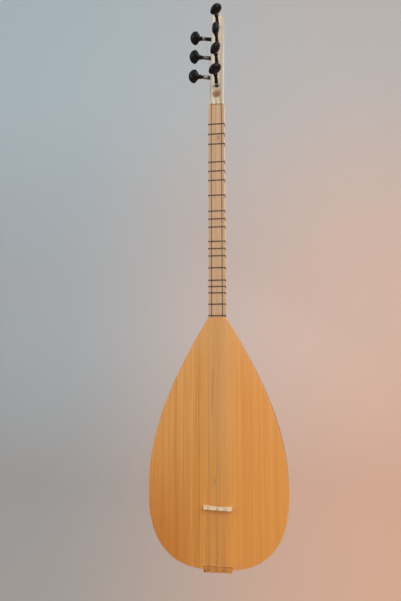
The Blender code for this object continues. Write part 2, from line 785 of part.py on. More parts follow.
def over_edge(start, end, lift):
    """Where a string on its way to a side peg crosses the headstock's left front edge, if it does."""
    edge = HEAD_CHAMFER - head_half_width(end.z / 2)
    if end.x > edge:
        return []
    place = start.lerp(end, (edge - start.x) / (end.x - start.x))
    place.y = min(place.y, -lift)
    return [place]


def string(run, peg, finish, datum):
    """A string, from its notch under the tailpiece over bridge and nut to its peg.

    It turns down just below the bridge, so that the bridge can be shifted under it.
    """
    lift = GAP + run.diameter / 2
    low = BODY_TOP - BODY_END - GAP - TAILPIECE_DROP + TAIL_NOTCH_DEPTH - lift
    over_nut = [Vector((run.nut_x, -(NUT_HEIGHT - NOTCH_DEPTH + lift), GAP + NUT_THICKNESS * share))
                for share in (0.15, 0.85)]
    radius = wound_radius(peg, run.seat, run.diameter)
    turn = math.radians(peg.tangent)
    peg_place = peg.place @ Vector((radius * math.cos(turn), radius * math.sin(turn), run.seat))
    last = over_nut + over_edge(over_nut[-1], peg_place, lift) + [peg_place]
    points = [
        (run.tail_x, STRING_TAIL_RETURN, low),
        (run.tail_x, -lift, low),
        (run.bridge_x, -(BRIDGE_HEIGHT - NOTCH_DEPTH + GAP + lift), -BRIDGE_AT - BRIDGE_TRAVEL_BELOW),
    ]
    points += [tuple(TILT @ place) for place in last]
    return tube(run.name, points, run.diameter, finish, datum, sides=1)


def fret_loop(z):
    """Points of one turn round neck and fingerboard, from the left edge over the face and back."""
    lift = GAP + FRET_STRAND / 2
    half = NECK_WIDTH / 2
    near = 0.4 * lift
    face = [(-half - lift, -near), (-half - near, -lift), (half + near, -lift), (half + lift, -near)]
    profile = np.array(neck_profile(z))
    ways = np.gradient(profile, axis=0)
    ways /= np.linalg.norm(ways, axis=1)[:, None]
    outward = np.stack([ways[:, 1], -ways[:, 0]], axis=1)
    outward[0] = (1.0, 0.0)
    outward[-1] = (-1.0, 0.0)
    back = profile + outward * lift
    return face, [tuple(place) for place in back]


def fret(number, z, finish, datum):
    """A tied fret: nylon wound twice round the neck, level across the face and climbing behind it."""
    face, back = fret_loop(z)
    start = -(FRET_TURNS - 1) / 2 * FRET_PITCH
    points = [(*back[-1], start)]
    for turn in range(FRET_TURNS):
        level = start + turn * FRET_PITCH
        points += [(x, y, level) for x, y in face]
        points += [(x, y, level + FRET_PITCH * i / NECK_FACETS) for i, (x, y) in enumerate(back)]
    name = f"fret_{number + 1:02d}"
    gap = least_gap(points, FRET_STRAND, len(face) + len(back))
    print(f"{name}: least gap to itself {gap * 1000:.2f} mm")
    return tube(name, points, FRET_STRAND, finish, datum, Matrix.Translation((0.0, 0.0, z)))


def make_pegs():
    """Lays out the pegs: four out of the headstock's face and three out of its left side."""
    pegs = []
    for i in range(FRONT_PEG_COUNT):
        along = FRONT_PEG_FIRST + i * PEG_PITCH
        place = Matrix.Translation((FRONT_PEG_OFFSET, 0.0, along)) @ Matrix.Rotation(math.pi / 2, 4, "X")
        bore = HEAD_DEPTH + HEAD_BACK_RADIUS
        pegs.append(Peg(f"front_peg_{i + 1}", place, FRONT_PEG_REACH, HEAD_DEPTH, bore,
                        FRONT_PEG_TURNS[i], 0.0))
    lean = math.radians(SIDE_PEG_LEAN)
    for i in range(SIDE_PEG_COUNT):
        along = SIDE_PEG_FIRST + i * PEG_PITCH
        half = head_half_width(along)
        place = Matrix.Translation((-half, SIDE_PEG_BACK, along))
        place = place @ Matrix.Rotation(lean - math.pi / 2, 4, "Y")
        depth = (2 * half - SIDE_PEG_WALL) / math.cos(lean)
        pegs.append(Peg(f"side_peg_{i + 1}", place, SIDE_PEG_REACH, depth, depth,
                        SIDE_PEG_TURNS[i], -90.0))
    return pegs


def make_runs():
    """Gives each string its places and its peg, the farther pegs to the strings that pass outside."""
    takers = ["side_peg_1", "side_peg_2", "side_peg_3", "front_peg_1", "front_peg_2", "front_peg_3",
              "front_peg_4"]
    runs = []
    for course in COURSES:
        count = len(course.diameters)
        for i, diameter in enumerate(course.diameters):
            away = i - (count - 1) / 2
            peg = takers[len(runs)]
            runs.append(Run(
                f"{course.name}_string_{i + 1}", diameter,
                course.at_tail + away * STRING_SPACING_AT_TAIL,
                course.at_bridge + away * STRING_SPACING_AT_BRIDGE,
                course.at_nut + away * STRING_SPACING_AT_NUT,
                peg, STRING_SEATS[peg],
            ))
    return runs


def main():
    """Builds the whole instrument."""
    clear_scene()
    spruce = material("spruce", (0.74, 0.40, 0.12), 0.35)
    bowl_wood = material("bowl walnut", (0.23, 0.10, 0.045), 0.35)
    neck_wood = material("neck wood", (0.62, 0.42, 0.24), 0.4)
    board_wood = material("fingerboard wood", (0.66, 0.46, 0.28), 0.45)
    pale_wood = material("pale maple", (0.80, 0.70, 0.52), 0.45)
    inner_wood = material("inner lime wood", (0.66, 0.50, 0.32), 0.7)
    dark_strip = material("dark strip", (0.07, 0.035, 0.02), 0.5)
    honey_wood = material("tailpiece wood", (0.66, 0.36, 0.12), 0.4)
    black = material("black peg lacquer", (0.012, 0.012, 0.014), 0.22)
    steel = material("string steel", (0.72, 0.72, 0.70), 0.3, 1.0)
    nylon = material("fret nylon", (0.09, 0.045, 0.025), 0.4)

    hanger = TILT @ Vector((0.0, HEAD_DEPTH, HANGER_AT))
    datum = empty("neck_datum", None, Matrix.Translation(-hanger))
    head = empty("headstock_datum", datum, TILT)

    pegs = make_pegs()
    runs = make_runs()
    by_name = {peg.name: peg for peg in pegs}

    soundboard(spruce, datum)
    for number in range(STAVE_COUNT):
        stave(number, bowl_wood, datum)
    neck_block(inner_wood, datum)
    tail_block(inner_wood, datum)
    brace("upper_brace", UPPER_BRACE_AT, inner_wood, datum)
    brace("lower_brace", LOWER_BRACE_AT, inner_wood, datum)
    tailpiece(runs, honey_wood, datum)
    neck(neck_wood, datum, head)
    fingerboard(board_wood, datum)
    purfling("purfling_left", -1, dark_strip, datum)
    purfling("purfling_right", 1, dark_strip, datum)
    headstock(pegs, pale_wood, head)
    nut(runs, pale_wood, head)
    bridge(runs, pale_wood, datum)
    for peg in pegs:
        build_peg(peg, black, head)
    for run in runs:
        winding(run, by_name[run.peg], steel, head)
        string(run, by_name[run.peg], steel, datum)
    for number, z in enumerate(FRETS_Z):
        fret(number, z, nylon, datum)


if __name__ == "__main__":
    main()
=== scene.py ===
"""The looks of a short-neck baglama: smooth shells, turned pegs, tied frets and wood finishes.

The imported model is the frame. Every size of the instrument follows it, and nothing is moved or resized.
Shapes are worked out in the neck's own frame, which starts where the neck's face meets the headstock,
with +Z up the neck, +X to the right and -Y out of the soundboard. Lengths are in metres.
"""

import json
import logging
import math
from dataclasses import dataclass
from enum import Enum

import bmesh
import bpy
import numpy as np
from mathutils import Matrix, Vector


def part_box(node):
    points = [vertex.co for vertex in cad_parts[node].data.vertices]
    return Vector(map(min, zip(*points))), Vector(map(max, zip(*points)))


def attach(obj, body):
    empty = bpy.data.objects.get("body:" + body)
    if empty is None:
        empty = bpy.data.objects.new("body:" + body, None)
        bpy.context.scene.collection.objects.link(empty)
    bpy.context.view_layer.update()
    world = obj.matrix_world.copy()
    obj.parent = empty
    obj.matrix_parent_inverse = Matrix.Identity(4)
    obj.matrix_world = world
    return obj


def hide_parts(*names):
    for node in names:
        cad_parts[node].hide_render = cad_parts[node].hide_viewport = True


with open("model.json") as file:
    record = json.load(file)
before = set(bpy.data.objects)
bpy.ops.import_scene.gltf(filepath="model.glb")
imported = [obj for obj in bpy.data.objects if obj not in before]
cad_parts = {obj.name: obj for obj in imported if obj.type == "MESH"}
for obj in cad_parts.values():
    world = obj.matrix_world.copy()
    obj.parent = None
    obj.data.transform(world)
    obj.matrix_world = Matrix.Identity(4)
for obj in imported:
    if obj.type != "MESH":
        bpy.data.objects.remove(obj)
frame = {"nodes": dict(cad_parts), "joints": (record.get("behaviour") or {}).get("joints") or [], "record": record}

log = logging.getLogger("baglama")

# The room between glued pieces, and the distance under which two vertices are one.
GAP = 0.0003
SAME_PLACE = 1e-6

# Faces that turn by less than the first are one flat. Edges past the second stay sharp, and on the small
# wooden pieces those past the third are rounded.
FLAT_ANGLE = math.radians(1)
SMOOTH_ANGLE = math.radians(35)
EASED_ANGLE = math.radians(40)

# How thick each string is, by its CAD node.
GAUGES = {
    "bass_string_1": 0.00045,
    "bass_string_2": 0.0003,
    "middle_string_1": 0.0004,
    "middle_string_2": 0.0004,
    "treble_string_1": 0.0003,
    "treble_string_2": 0.0003,
    "treble_string_3": 0.0004,
}
FRET_COUNT = 19

Colour = tuple[float, float, float]
Place = tuple[float, float, float]
Piece = bpy.types.Object


def srgb(red: float, green: float, blue: float) -> Colour:
    """Turns a colour as a screen shows it, 0 to 255, into the linear one that a shader takes.

    Args:
        red: The red part.
        green: The green part.
        blue: The blue part.

    Returns:
        The linear colour.
    """
    share = np.array([red, green, blue]) / 255
    linear = np.where(share <= 0.04045, share / 12.92, ((share + 0.055) / 1.055) ** 2.4)
    return tuple(float(part) for part in linear)


class Value:
    """A socket of a material's nodes, with Python's operators as Math nodes."""

    def __init__(self, nodes: "Nodes", socket: bpy.types.NodeSocket) -> None:
        """Wraps one output socket."""
        self.nodes = nodes
        self.socket = socket

    def _math(self, operation: str, first: "Value | float", second: "Value | float" = 0.0) -> "Value":
        """Adds a Math node for one operation."""
        return self.nodes.add("ShaderNodeMath", {"operation": operation}, {0: first, 1: second})

    def __add__(self, other: "Value | float") -> "Value":
        """The sum of two values."""
        return self._math("ADD", self, other)

    def __radd__(self, other: float) -> "Value":
        """A number plus this value."""
        return self._math("ADD", other, self)

    def __sub__(self, other: "Value | float") -> "Value":
        """This value less another."""
        return self._math("SUBTRACT", self, other)

    def __rsub__(self, other: float) -> "Value":
        """A number less this value."""
        return self._math("SUBTRACT", other, self)

    def __mul__(self, other: "Value | float") -> "Value":
        """The product of two values."""
        return self._math("MULTIPLY", self, other)

    def __rmul__(self, other: float) -> "Value":
        """A number times this value."""
        return self._math("MULTIPLY", other, self)

    def __truediv__(self, other: "Value | float") -> "Value":
        """This value divided by another."""
        return self._math("DIVIDE", self, other)

    def __pow__(self, other: "Value | float") -> "Value":
        """This value raised to a power."""
        return self._math("POWER", self, other)

    def step(self, low: float, high: float) -> "Value":
        """Rises smoothly from 0 at low to 1 at high.

        Args:
            low: Where the rise starts.
            high: Where it ends. It may lie below low, and then the value falls.

        Returns:
            The eased share.
        """
        if low > high:
            return 1.0 - self.step(high, low)
        settings = {"interpolation_type": "SMOOTHSTEP"}
        return self.nodes.add("ShaderNodeMapRange", settings, {0: self, 1: low, 2: high})

    def hump(self, middle: float, spread: float) -> "Value":
        """A soft bell: 1 at the middle, falling off to each side over the spread.

        Args:
            middle: Where the bell peaks.
            spread: Where it has fallen to about a third.

        Returns:
            The bell's height.
        """
        away = (self - middle) / spread
        return self._math("EXPONENT", 0.0 - away * away)


class Nodes:
    """The node tree of one material or world."""

    def __init__(self, owner: bpy.types.Material | bpy.types.World) -> None:
        """Opens the node tree.

        Args:
            owner: The material or world.
        """
        owner.use_nodes = True
        self.owner = owner
        self.tree = owner.node_tree

    @property
    def shader(self) -> bpy.types.ShaderNode:
        """The Principled shader at a material's end."""
        return self.tree.nodes["Principled BSDF"]

    def add(
        self,
        kind: str,
        settings: dict[str, object] | None = None,
        inputs: dict[int | str, object] | None = None,
        output: int | str = 0,
    ) -> Value:
        """Adds a node.

        Args:
            kind: The node's type.
            settings: Its settings, which are set first.
            inputs: A value or a link for each of its sockets.
            output: Which of its outputs to hand back.

        Returns:
            That output.
        """
        made = self.tree.nodes.new(kind)
        for name, setting in (settings or {}).items():
            setattr(made, name, setting)
        for name, value in (inputs or {}).items():
            self.feed(made.inputs[name], value)
        return Value(self, made.outputs[output])

    def feed(self, socket: bpy.types.NodeSocket, value: object) -> None:
        """Links a value to a socket, or sets the socket to a number, vector or colour.

        Args:
            socket: The socket.
            value: The value to link, or what the socket is set to.
        """
        if isinstance(value, Value):
            self.tree.links.new(value.socket, socket)
        elif socket.type == "RGBA":
            socket.default_value = (*value, 1.0)
        else:
            socket.default_value = value

    def place(self) -> Value:
        """Places on the piece, in metres of the shared frame."""
        return self.add("ShaderNodeTexCoord", output="Object")

    def turned(
        self, tip: float = 0.0, scale: Place = (1.0, 1.0, 1.0), shift: Place = (0.0, 0.0, 0.0)
    ) -> Value:
        """Places on the piece, turned about X, then shifted, then stretched.

        Args:
            tip: The turn about X, in radians.
            scale: The stretch of each axis.
            shift: What is added after the turn.

        Returns:
            The mapped place.
        """
        inputs = {"Vector": self.place(), "Rotation": (tip, 0.0, 0.0), "Location": shift}
        upright = self.add("ShaderNodeMapping", None, inputs)
        return self.add("ShaderNodeMapping", None, {"Vector": upright, "Scale": scale})

    def split(self, vector: Value) -> tuple[Value, Value, Value]:
        """The three parts of a vector."""
        made = self.add("ShaderNodeSeparateXYZ", None, {0: vector}).socket.node
        return tuple(Value(self, socket) for socket in made.outputs)

    def noise(self, vector: Value, scale: float, detail: float = 2.0, rough: float = 0.5) -> Value:
        """Soft random values about a half, so many to the metre."""
        inputs = {"Vector": vector, "Scale": scale, "Detail": detail, "Roughness": rough}
        return self.add("ShaderNodeTexNoise", None, inputs)

    def mix(self, share: Value | float, first: object, second: object) -> Value:
        """Goes from one colour to another.

        Args:
            share: 0 for the first colour and 1 for the second.
            first: A colour or a link.
            second: A colour or a link.

        Returns:
            The mixed colour.
        """
        settings = {"data_type": "RGBA", "clamp_factor": True}
        return self.add("ShaderNodeMix", settings, {0: share, 6: first, 7: second}, 2)

    def bump(self, height: Value, depth: float) -> None:
        """Gives the surface relief: the height, from 0 to 1, times the depth in metres."""
        relief = self.add("ShaderNodeBump", None, {"Strength": 1.0, "Distance": depth, "Height": height})
        self.feed(self.shader.inputs["Normal"], relief)

    def finish(self, colour: object, roughness: object, **fixed: float) -> bpy.types.Material:
        """Feeds the shader.

        Args:
            colour: The base colour.
            roughness: The roughness.
            **fixed: Constants for the shader's other sockets, with _ for a space.

        Returns:
            The finished material.
        """
        self.feed(self.shader.inputs["Base Color"], colour)
        self.feed(self.shader.inputs["Roughness"], roughness)
        for name, value in fixed.items():
            self.shader.inputs[name.replace("_", " ")].default_value = value
        return self.owner


@dataclass(frozen=True)
class Wood:
    """Straight-grained wood under a thin finish, with its grain along the neck or a tipped axis.

    A fibre is 1 / fibres metres wide and is drawn out along the grain by the stretch. Rings and bands are so
    many fibres wide, and drawn out further by the lengthening.
    """

    name: str
    light: Colour
    dark: Colour
    fibres: float = 1500.0
    stretch: float = 60.0
    ring: float = 5.0
    band: float = 30.0
    lengthening: float = 2.5
    contrast: float = 0.5
    bands: float = 0.5
    roughness: float = 0.4
    varnish: float = 0.25
    relief: float = 0.00003
    coat_roughness: float = 0.12
    tip: float = 0.0

    def grain(self, nodes: Nodes) -> tuple[Value, Value, Value]:
        """Draws the same noise at three widths, each with its contrast raised by a smooth step.

        Args:
            nodes: The material's nodes.

        Returns:
            Fibres, year rings and wide bands, each from 0 to 1.
        """
        drawn = nodes.turned(self.tip, (1.0, 1.0, 1 / self.stretch))
        longer = nodes.turned(self.tip, (1.0, 1.0, 1 / (self.lengthening * self.stretch)))
        fibres = nodes.noise(drawn, self.fibres, 3.0, 0.6)
        rings = nodes.noise(longer, self.fibres / self.ring, 2.0, 0.55)
        bands = nodes.noise(longer, self.fibres / self.band, 2.0, 0.5)
        return fibres.step(0.32, 0.68), rings.step(0.34, 0.66), bands.step(0.3, 0.7)

    def tone(self, nodes: Nodes, colour: Value) -> Value:
        """What a piece adds to the plain grain. Plain wood adds nothing."""
        return colour

    def make(self) -> bpy.types.Material:
        """Makes the material.

        Returns:
            The wood, with colour, roughness and relief from its grain.
        """
        nodes = Nodes(bpy.data.materials.new(self.name))
        fibres, rings, bands = self.grain(nodes)
        fine = self.contrast * (0.45 * fibres + 0.55 * rings)
        colour = nodes.mix(fine + self.bands * (bands - 0.5), self.light, self.dark)
        colour = self.tone(nodes, colour)
        nodes.bump(0.5 * fibres + 0.5 * rings, self.relief)
        rough = self.roughness + 0.10 * (fibres - 0.5) + 0.05 * (bands - 0.5)
        return nodes.finish(colour, rough, Coat_Weight=self.varnish,
                            Coat_Roughness=self.coat_roughness)


@dataclass(frozen=True)
class SpruceTop(Wood):
    """The soundboard's spruce, with its joint, a streak and a fleck, and with painted light: a warmer right half,
    a lighter upper board and painted shade on the lower left.

    A place called at is across the board in metres, and one called down goes from 0 at the neck to 1 at the
    tail.
    """

    # Painted light: the warmer right half stands for warm light from the right, the low left tone is painted shade
    # and the high tone is painted light on the upper board. The streak, the fleck and the seam are the board's
    # own.
    warm_lit_right_half: Colour = srgb(240, 160, 74)
    shaded_low_left: Colour = srgb(196, 112, 22)
    high: Colour = srgb(228, 174, 106)
    streak: Colour = srgb(178, 98, 42)
    fleck: Colour = srgb(96, 52, 22)
    joint_at: float = 0.0068
    warm_light_blur: float = 0.0012
    seam_width: float = 0.00035
    streak_at: float = -0.0078
    streak_width: float = 0.0011
    fleck_at: float = -0.0046
    fleck_width: float = 0.0006
    fleck_down: float = 0.672
    fleck_length: float = 0.011
    wander: float = 0.004
    wander_scale: float = 26.0
    neck_end: float = -0.501
    tail_end: float = -0.894

    def tone(self, nodes: Nodes, colour: Value) -> Value:
        """Paints warm light on the right half, painted shade on the lower left and painted light on the upper
        board, and lays in a reddish streak, the joint's dark seam and a dark fleck.

        Each is a product of steps or bells across and along, and slow noise lets the edges wander.

        Args:
            nodes: The material's nodes.
            colour: The plain grain's colour.

        Returns:
            The board's colour.
        """
        x, _, z = nodes.split(nodes.place())
        down = (z - self.neck_end) / (self.tail_end - self.neck_end)
        slow = nodes.noise(nodes.turned(scale=(1.0, 1.0, 0.25)), self.wander_scale, 2.0)
        edge = x + self.wander * (slow - 0.5)
        right = edge.step(self.joint_at - self.warm_light_blur, self.joint_at + self.warm_light_blur)
        # Painted warm light on the right half, blurred across the joint.
        colour = nodes.mix(0.7 * right, colour, nodes.mix(0.62, colour, self.warm_lit_right_half))
        # Painted shade on the lower left, away from the light.
        colour = nodes.mix(0.62 * down.step(0.42, 0.98) * edge.step(0.002, -0.085), colour, self.shaded_low_left)
        # Painted light: lighter towards the neck, and a painted highlight right of the middle.
        colour = nodes.mix(0.5 * down.step(0.34, 0.0), colour, self.high)
        colour = nodes.mix(0.5 * edge.hump(0.012, 0.018) * down.hump(0.35, 0.3), colour, self.high)
        line = edge.hump(self.streak_at, self.streak_width) * down.step(0.18, 0.26) * down.step(0.44, 0.36)
        colour = nodes.mix(0.5 * line, colour, self.streak)
        seam = x.hump(self.joint_at, self.seam_width)
        colour = nodes.mix(0.32 * seam, colour, self.streak)
        mark = x.hump(self.fleck_at, self.fleck_width) * down.hump(self.fleck_down, self.fleck_length)
        return nodes.mix(0.75 * mark, colour, self.fleck)


@dataclass(frozen=True)
class HeadMaple(Wood):
    """The headstock's pale maple, with painted shade towards the right, and in its hollow painted shade over the
    browner end grain bared there.

    The shift takes the hollow's middle to the origin, once the grain is upright.
    """

    shaded_right_side: Colour = srgb(192, 182, 164)
    hollow_shade_and_grain: Colour = srgb(146, 96, 54)
    hollow_top: Colour = srgb(190, 138, 102)
    shade_from: float = 0.003
    shade_to: float = 0.011
    darkened_depth: float = 0.006
    shift: Place = (0.0, 0.0, 0.0)
    hollow_half: tuple[float, float] = (1.0, 1.0)

    def tone(self, nodes: Nodes, colour: Value) -> Value:
        """Paints shade on the right side, and paints the hollow browner by an ellipse round its middle: painted
        shade in the recess over its bared end grain.

        The ellipse is (x / half width)^2 + (z / half length)^2, which is 1 at the hollow's edge. The painted shade
        lies only between the face and a few millimetres under it, and is lighter towards the hollow's top.

        Args:
            nodes: The material's nodes.
            colour: The plain grain's colour.

        Returns:
            The headstock's colour.
        """
        across, _, _ = nodes.split(nodes.place())
        # Painted shade on the right side of the face.
        colour = nodes.mix(0.7 * across.step(self.shade_from, self.shade_to), colour, self.shaded_right_side)
        x, y, z = nodes.split(nodes.turned(self.tip, shift=self.shift))
        wide, tall = self.hollow_half
        ellipse = (x / wide) ** 2 + (z / tall) ** 2
        # Painted shade in the hollow, over its browner end grain, lighter towards the top.
        sunk = ellipse.step(1.08, 0.15) * y.step(-0.0006, 0.0004)
        sunk = sunk * y.step(self.darkened_depth, 0.75 * self.darkened_depth)
        hollow_darkening = nodes.mix((z / tall).step(-0.1, 0.8), self.hollow_shade_and_grain, self.hollow_top)
        return nodes.mix(0.92 * sunk, colour, hollow_darkening)


@dataclass(frozen=True)
class BoardWood(Wood):
    """The fingerboard's wood, with one small brown knot."""

    knot: Colour = srgb(150, 104, 64)
    knot_at: tuple[float, float] = (0.0034, -0.176)
    knot_size: tuple[float, float] = (0.0028, 0.0055)

    def tone(self, nodes: Nodes, colour: Value) -> Value:
        """Lays in the knot, as a bell across the board times a bell along it.

        Args:
            nodes: The material's nodes.
            colour: The plain grain's colour.

        Returns:
            The board's colour.
        """
        x, _, z = nodes.split(nodes.place())
        share = x.hump(self.knot_at[0], self.knot_size[0]) * z.hump(self.knot_at[1], self.knot_size[1])
        return nodes.mix(0.7 * share, colour, self.knot)


@dataclass(frozen=True)
class TailWood(Wood):
    """The tailpiece's honey wood, with a black pin hole at its left end."""

    corner: tuple[float, float] = (0.0, 0.0)
    pin_inset: float = 0.002
    pin_radius: float = 0.00135
    pin_colour: Colour = srgb(24, 16, 12)

    def tone(self, nodes: Nodes, colour: Value) -> Value:
        """Blackens the wood within the pin hole's radius, by the distance from its axis.

        Args:
            nodes: The material's nodes.
            colour: The plain grain's colour.

        Returns:
            The tailpiece's colour.
        """
        x, _, z = nodes.split(nodes.place())
        pin_x, pin_z = (place + self.pin_inset for place in self.corner)
        away = ((x - pin_x) ** 2 + (z - pin_z) ** 2) ** 0.5
        return nodes.mix(away.step(self.pin_radius, 0.8 * self.pin_radius), colour, self.pin_colour)


@dataclass(frozen=True)
class Lacquer:
    """Black lacquer over turned wood, a little rough, and worn browner by fingers."""

    name: str = "black peg lacquer"
    colour: Colour = srgb(9, 9, 11)
    worn: Colour = srgb(22, 21, 22)

    def make(self) -> bpy.types.Material:
        """Makes the material.

        Returns:
            The finish, with its colour and roughness from slow noise.
        """
        nodes = Nodes(bpy.data.materials.new(self.name))
        place = nodes.place()
        wear = nodes.noise(place, 160.0, 4.0, 0.6).step(0.45, 0.75)
        grit = nodes.noise(place, 2200.0, 2.0)
        nodes.bump(0.6 * nodes.noise(place, 420.0, 2.0) + 0.4 * grit, 0.00002)
        colour = nodes.mix(0.7 * wear, self.colour, self.worn)
        return nodes.finish(colour, 0.26 + 0.16 * wear, Coat_Weight=0.05, Coat_Roughness=0.1,
                            Specular_IOR_Level=0.2)


@dataclass(frozen=True)
class Wire:
    """Drawn steel wire, dulled a little where it has been touched."""

    name: str = "string steel"
    colour: Colour = srgb(198, 196, 190)
    dull: Colour = srgb(142, 138, 130)

    def make(self) -> bpy.types.Material:
        """Makes the material.

        Returns:
            The finish, with its colour and roughness from slow noise.
        """
        nodes = Nodes(bpy.data.materials.new(self.name))
        spots = nodes.noise(nodes.place(), 420.0, 3.0).step(0.4, 0.7)
        colour = nodes.mix(0.6 * spots, self.colour, self.dull)
        return nodes.finish(colour, 0.26 + 0.18 * spots, Metallic=1.0)


@dataclass(frozen=True)
class Nylon:
    """Dark brown fret line, cloudy with lighter brown."""

    name: str = "fret nylon"
    colour: Colour = srgb(44, 28, 18)
    pale: Colour = srgb(74, 48, 32)

    def make(self) -> bpy.types.Material:
        """Makes the material.

        Returns:
            The finish, with its colour and roughness from slow noise.
        """
        nodes = Nodes(bpy.data.materials.new(self.name))
        place = nodes.place()
        cloud = nodes.noise(place, 300.0, 3.0).step(0.35, 0.7)
        nodes.bump(nodes.noise(place, 1800.0, 2.0), 0.00002)
        colour = nodes.mix(0.7 * cloud, self.colour, self.pale)
        return nodes.finish(colour, 0.30 + 0.15 * cloud, IOR=1.53)


def unit(vectors: np.ndarray) -> np.ndarray:
    """Vectors of length 1 in the same directions."""
    return vectors / np.linalg.norm(vectors, axis=-1, keepdims=True)


def around(count: int) -> np.ndarray:
    """So many even turns round a circle, in radians."""
    return np.linspace(0, 2 * math.pi, count, endpoint=False)


def grid(*parts: np.ndarray | float) -> np.ndarray:
    """Puts coordinates together into places, and repeats each one over the rows or columns that it lacks."""
    return np.stack(np.broadcast_arrays(*parts), axis=-1)


def linked(name: str, data: bpy.types.ID) -> Piece:
    """Makes an object and shows it in the scene.

    Args:
        name: The object's name.
        data: Its mesh, lamp or camera.

    Returns:
        The object.
    """
    made = bpy.data.objects.new(name, data)
    bpy.context.scene.collection.objects.link(made)
    return made


def smooth(mesh: bpy.types.Mesh) -> None:
    """Smooths a mesh, and keeps its sharp edges."""
    mesh.shade_smooth()
    mesh.set_sharp_from_angle(angle=SMOOTH_ANGLE)


def paint(piece: Piece, finish: bpy.types.Material) -> None:
    """Gives a piece one finish in place of any others."""
    piece.data.materials.clear()
    piece.data.materials.append(finish)


def skin(name: str, places: np.ndarray, loop: bool = True, caps: bool = True) -> Piece:
    """Makes a smooth mesh from a grid of places: rows along the piece, columns round it.

    Args:
        name: The piece's name.
        places: The grid, rows by columns by 3.
        loop: Whether the last column meets the first.
        caps: Whether the first and last rows are closed with a face.

    Returns:
        The object, at the origin, with its faces turned outwards.
    """
    rows, columns, _ = places.shape
    index = np.arange(rows * columns).reshape(rows, columns)
    if loop:
        index = np.concatenate([index, index[:, :1]], axis=1)
    quads = np.stack([index[:-1, :-1], index[:-1, 1:], index[1:, 1:], index[1:, :-1]], axis=2)
    faces = quads.reshape(-1, 4).tolist()
    if caps:
        faces += [index[0, :columns].tolist(), index[-1, :columns].tolist()]
    mesh = bpy.data.meshes.new(name)
    mesh.from_pydata(places.reshape(-1, 3).tolist(), [], faces)
    return shown(name, mesh)


def shown(name: str, mesh: bpy.types.Mesh) -> Piece:
    """Merges a mesh's doubles, turns its faces out, smooths it and shows it.

    Args:
        name: The object's name.
        mesh: The mesh.

    Returns:
        The object.
    """
    work = bmesh.new()
    work.from_mesh(mesh)
    bmesh.ops.remove_doubles(work, verts=work.verts[:], dist=SAME_PLACE)
    bmesh.ops.recalc_face_normals(work, faces=work.faces[:])
    work.to_mesh(mesh)
    work.free()
    smooth(mesh)
    return linked(name, mesh)


def joined(name: str, parts: list[Piece]) -> Piece:
    """Puts several pieces into one object, as separate shells of one mesh.

    Args:
        name: The new object's name.
        parts: The pieces, which are used up.

    Returns:
        The object.
    """
    work = bmesh.new()
    for part in parts:
        work.from_mesh(part.data)
        bpy.data.objects.remove(part)
    mesh = bpy.data.meshes.new(name)
    work.to_mesh(mesh)
    work.free()
    return shown(name, mesh)


def carve(target: Piece, tools: list[Piece]) -> None:
    """Cuts tools out of a piece, and takes the tools away.

    Args:
        target: The piece, which keeps the result as its mesh.
        tools: The closed shapes to cut out.
    """
    for tool in tools:
        cut = target.modifiers.new("cut", "BOOLEAN")
        cut.operation = "DIFFERENCE"
        cut.solver = "EXACT"
        cut.object = tool
    bpy.context.view_layer.update()
    done = target.evaluated_get(bpy.context.evaluated_depsgraph_get())
    mesh = bpy.data.meshes.new_from_object(done)
    target.modifiers.clear()
    target.data = mesh
    smooth(mesh)
    for tool in tools:
        bpy.data.objects.remove(tool)


def sweep(name: str, path: np.ndarray, radius: float, up: np.ndarray, sides: int = 8) -> Piece:
    """Carries a circle along a path.

    Each ring is radius * (cos a * side + sin a * over), where side is the path's way crossed with up,
    and over is side crossed with the way.

    Args:
        name: The piece's name.
        path: The places on the path, one to a row.
        radius: The cord's radius.
        up: A direction that the path never follows.
        sides: How many sides the cord has.

    Returns:
        The cord, closed at both ends.
    """
    way = unit(np.gradient(path, axis=0))
    side = unit(np.cross(way, up))
    over = np.cross(side, way)
    turn = around(sides)[None, :, None]
    ring = np.cos(turn) * side[:, None, :] + np.sin(turn) * over[:, None, :]
    return skin(name, path[:, None, :] + radius * ring)


@dataclass(frozen=True)
class Layout:
    """Where the neck and the headstock lie in the shared frame, whose origin is on the headstock's back."""

    head_depth: float = 0.018
    hanger_at: float = 0.115

    @property
    def tilt(self) -> float:
        """The headstock's tilt back, read from a face peg's axis."""
        axis = next(joint["axis"] for joint in frame["joints"] if joint["name"] == "front_peg_1_turn")
        return math.atan2(axis[2], -axis[1])

    @property
    def turn(self) -> np.ndarray:
        """The rotation from the headstock's axes to the neck's, about X."""
        cos, sin = math.cos(self.tilt), math.sin(self.tilt)
        return np.array([[1.0, 0.0, 0.0], [0.0, cos, sin], [0.0, -sin, cos]])

    @property
    def start(self) -> np.ndarray:
        """Where the neck's frame starts."""
        return -self.turn @ np.array([0.0, self.head_depth, self.hanger_at])

    def from_neck(self, places: np.ndarray) -> np.ndarray:
        """Moves places from the neck's frame to the shared one."""
        return places + self.start

    def from_head(self, places: np.ndarray) -> np.ndarray:
        """Moves places from the headstock's frame to the shared one."""
        return places @ self.turn.T + self.start


LAYOUT = Layout()


def dress(piece: Piece, finish: bpy.types.Material, body: str, nodes: list[str]) -> Piece:
    """Gives a piece its finish, its body and the CAD nodes that it stands for.

    Args:
        piece: The piece.
        finish: Its material.
        body: The CAD body that it rides on.
        nodes: The CAD nodes that it replaces.

    Returns:
        The piece.
    """
    paint(piece, finish)
    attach(piece, body)
    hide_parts(*nodes)
    log.info("%s: %d faces", piece.name, len(piece.data.polygons))
    return piece


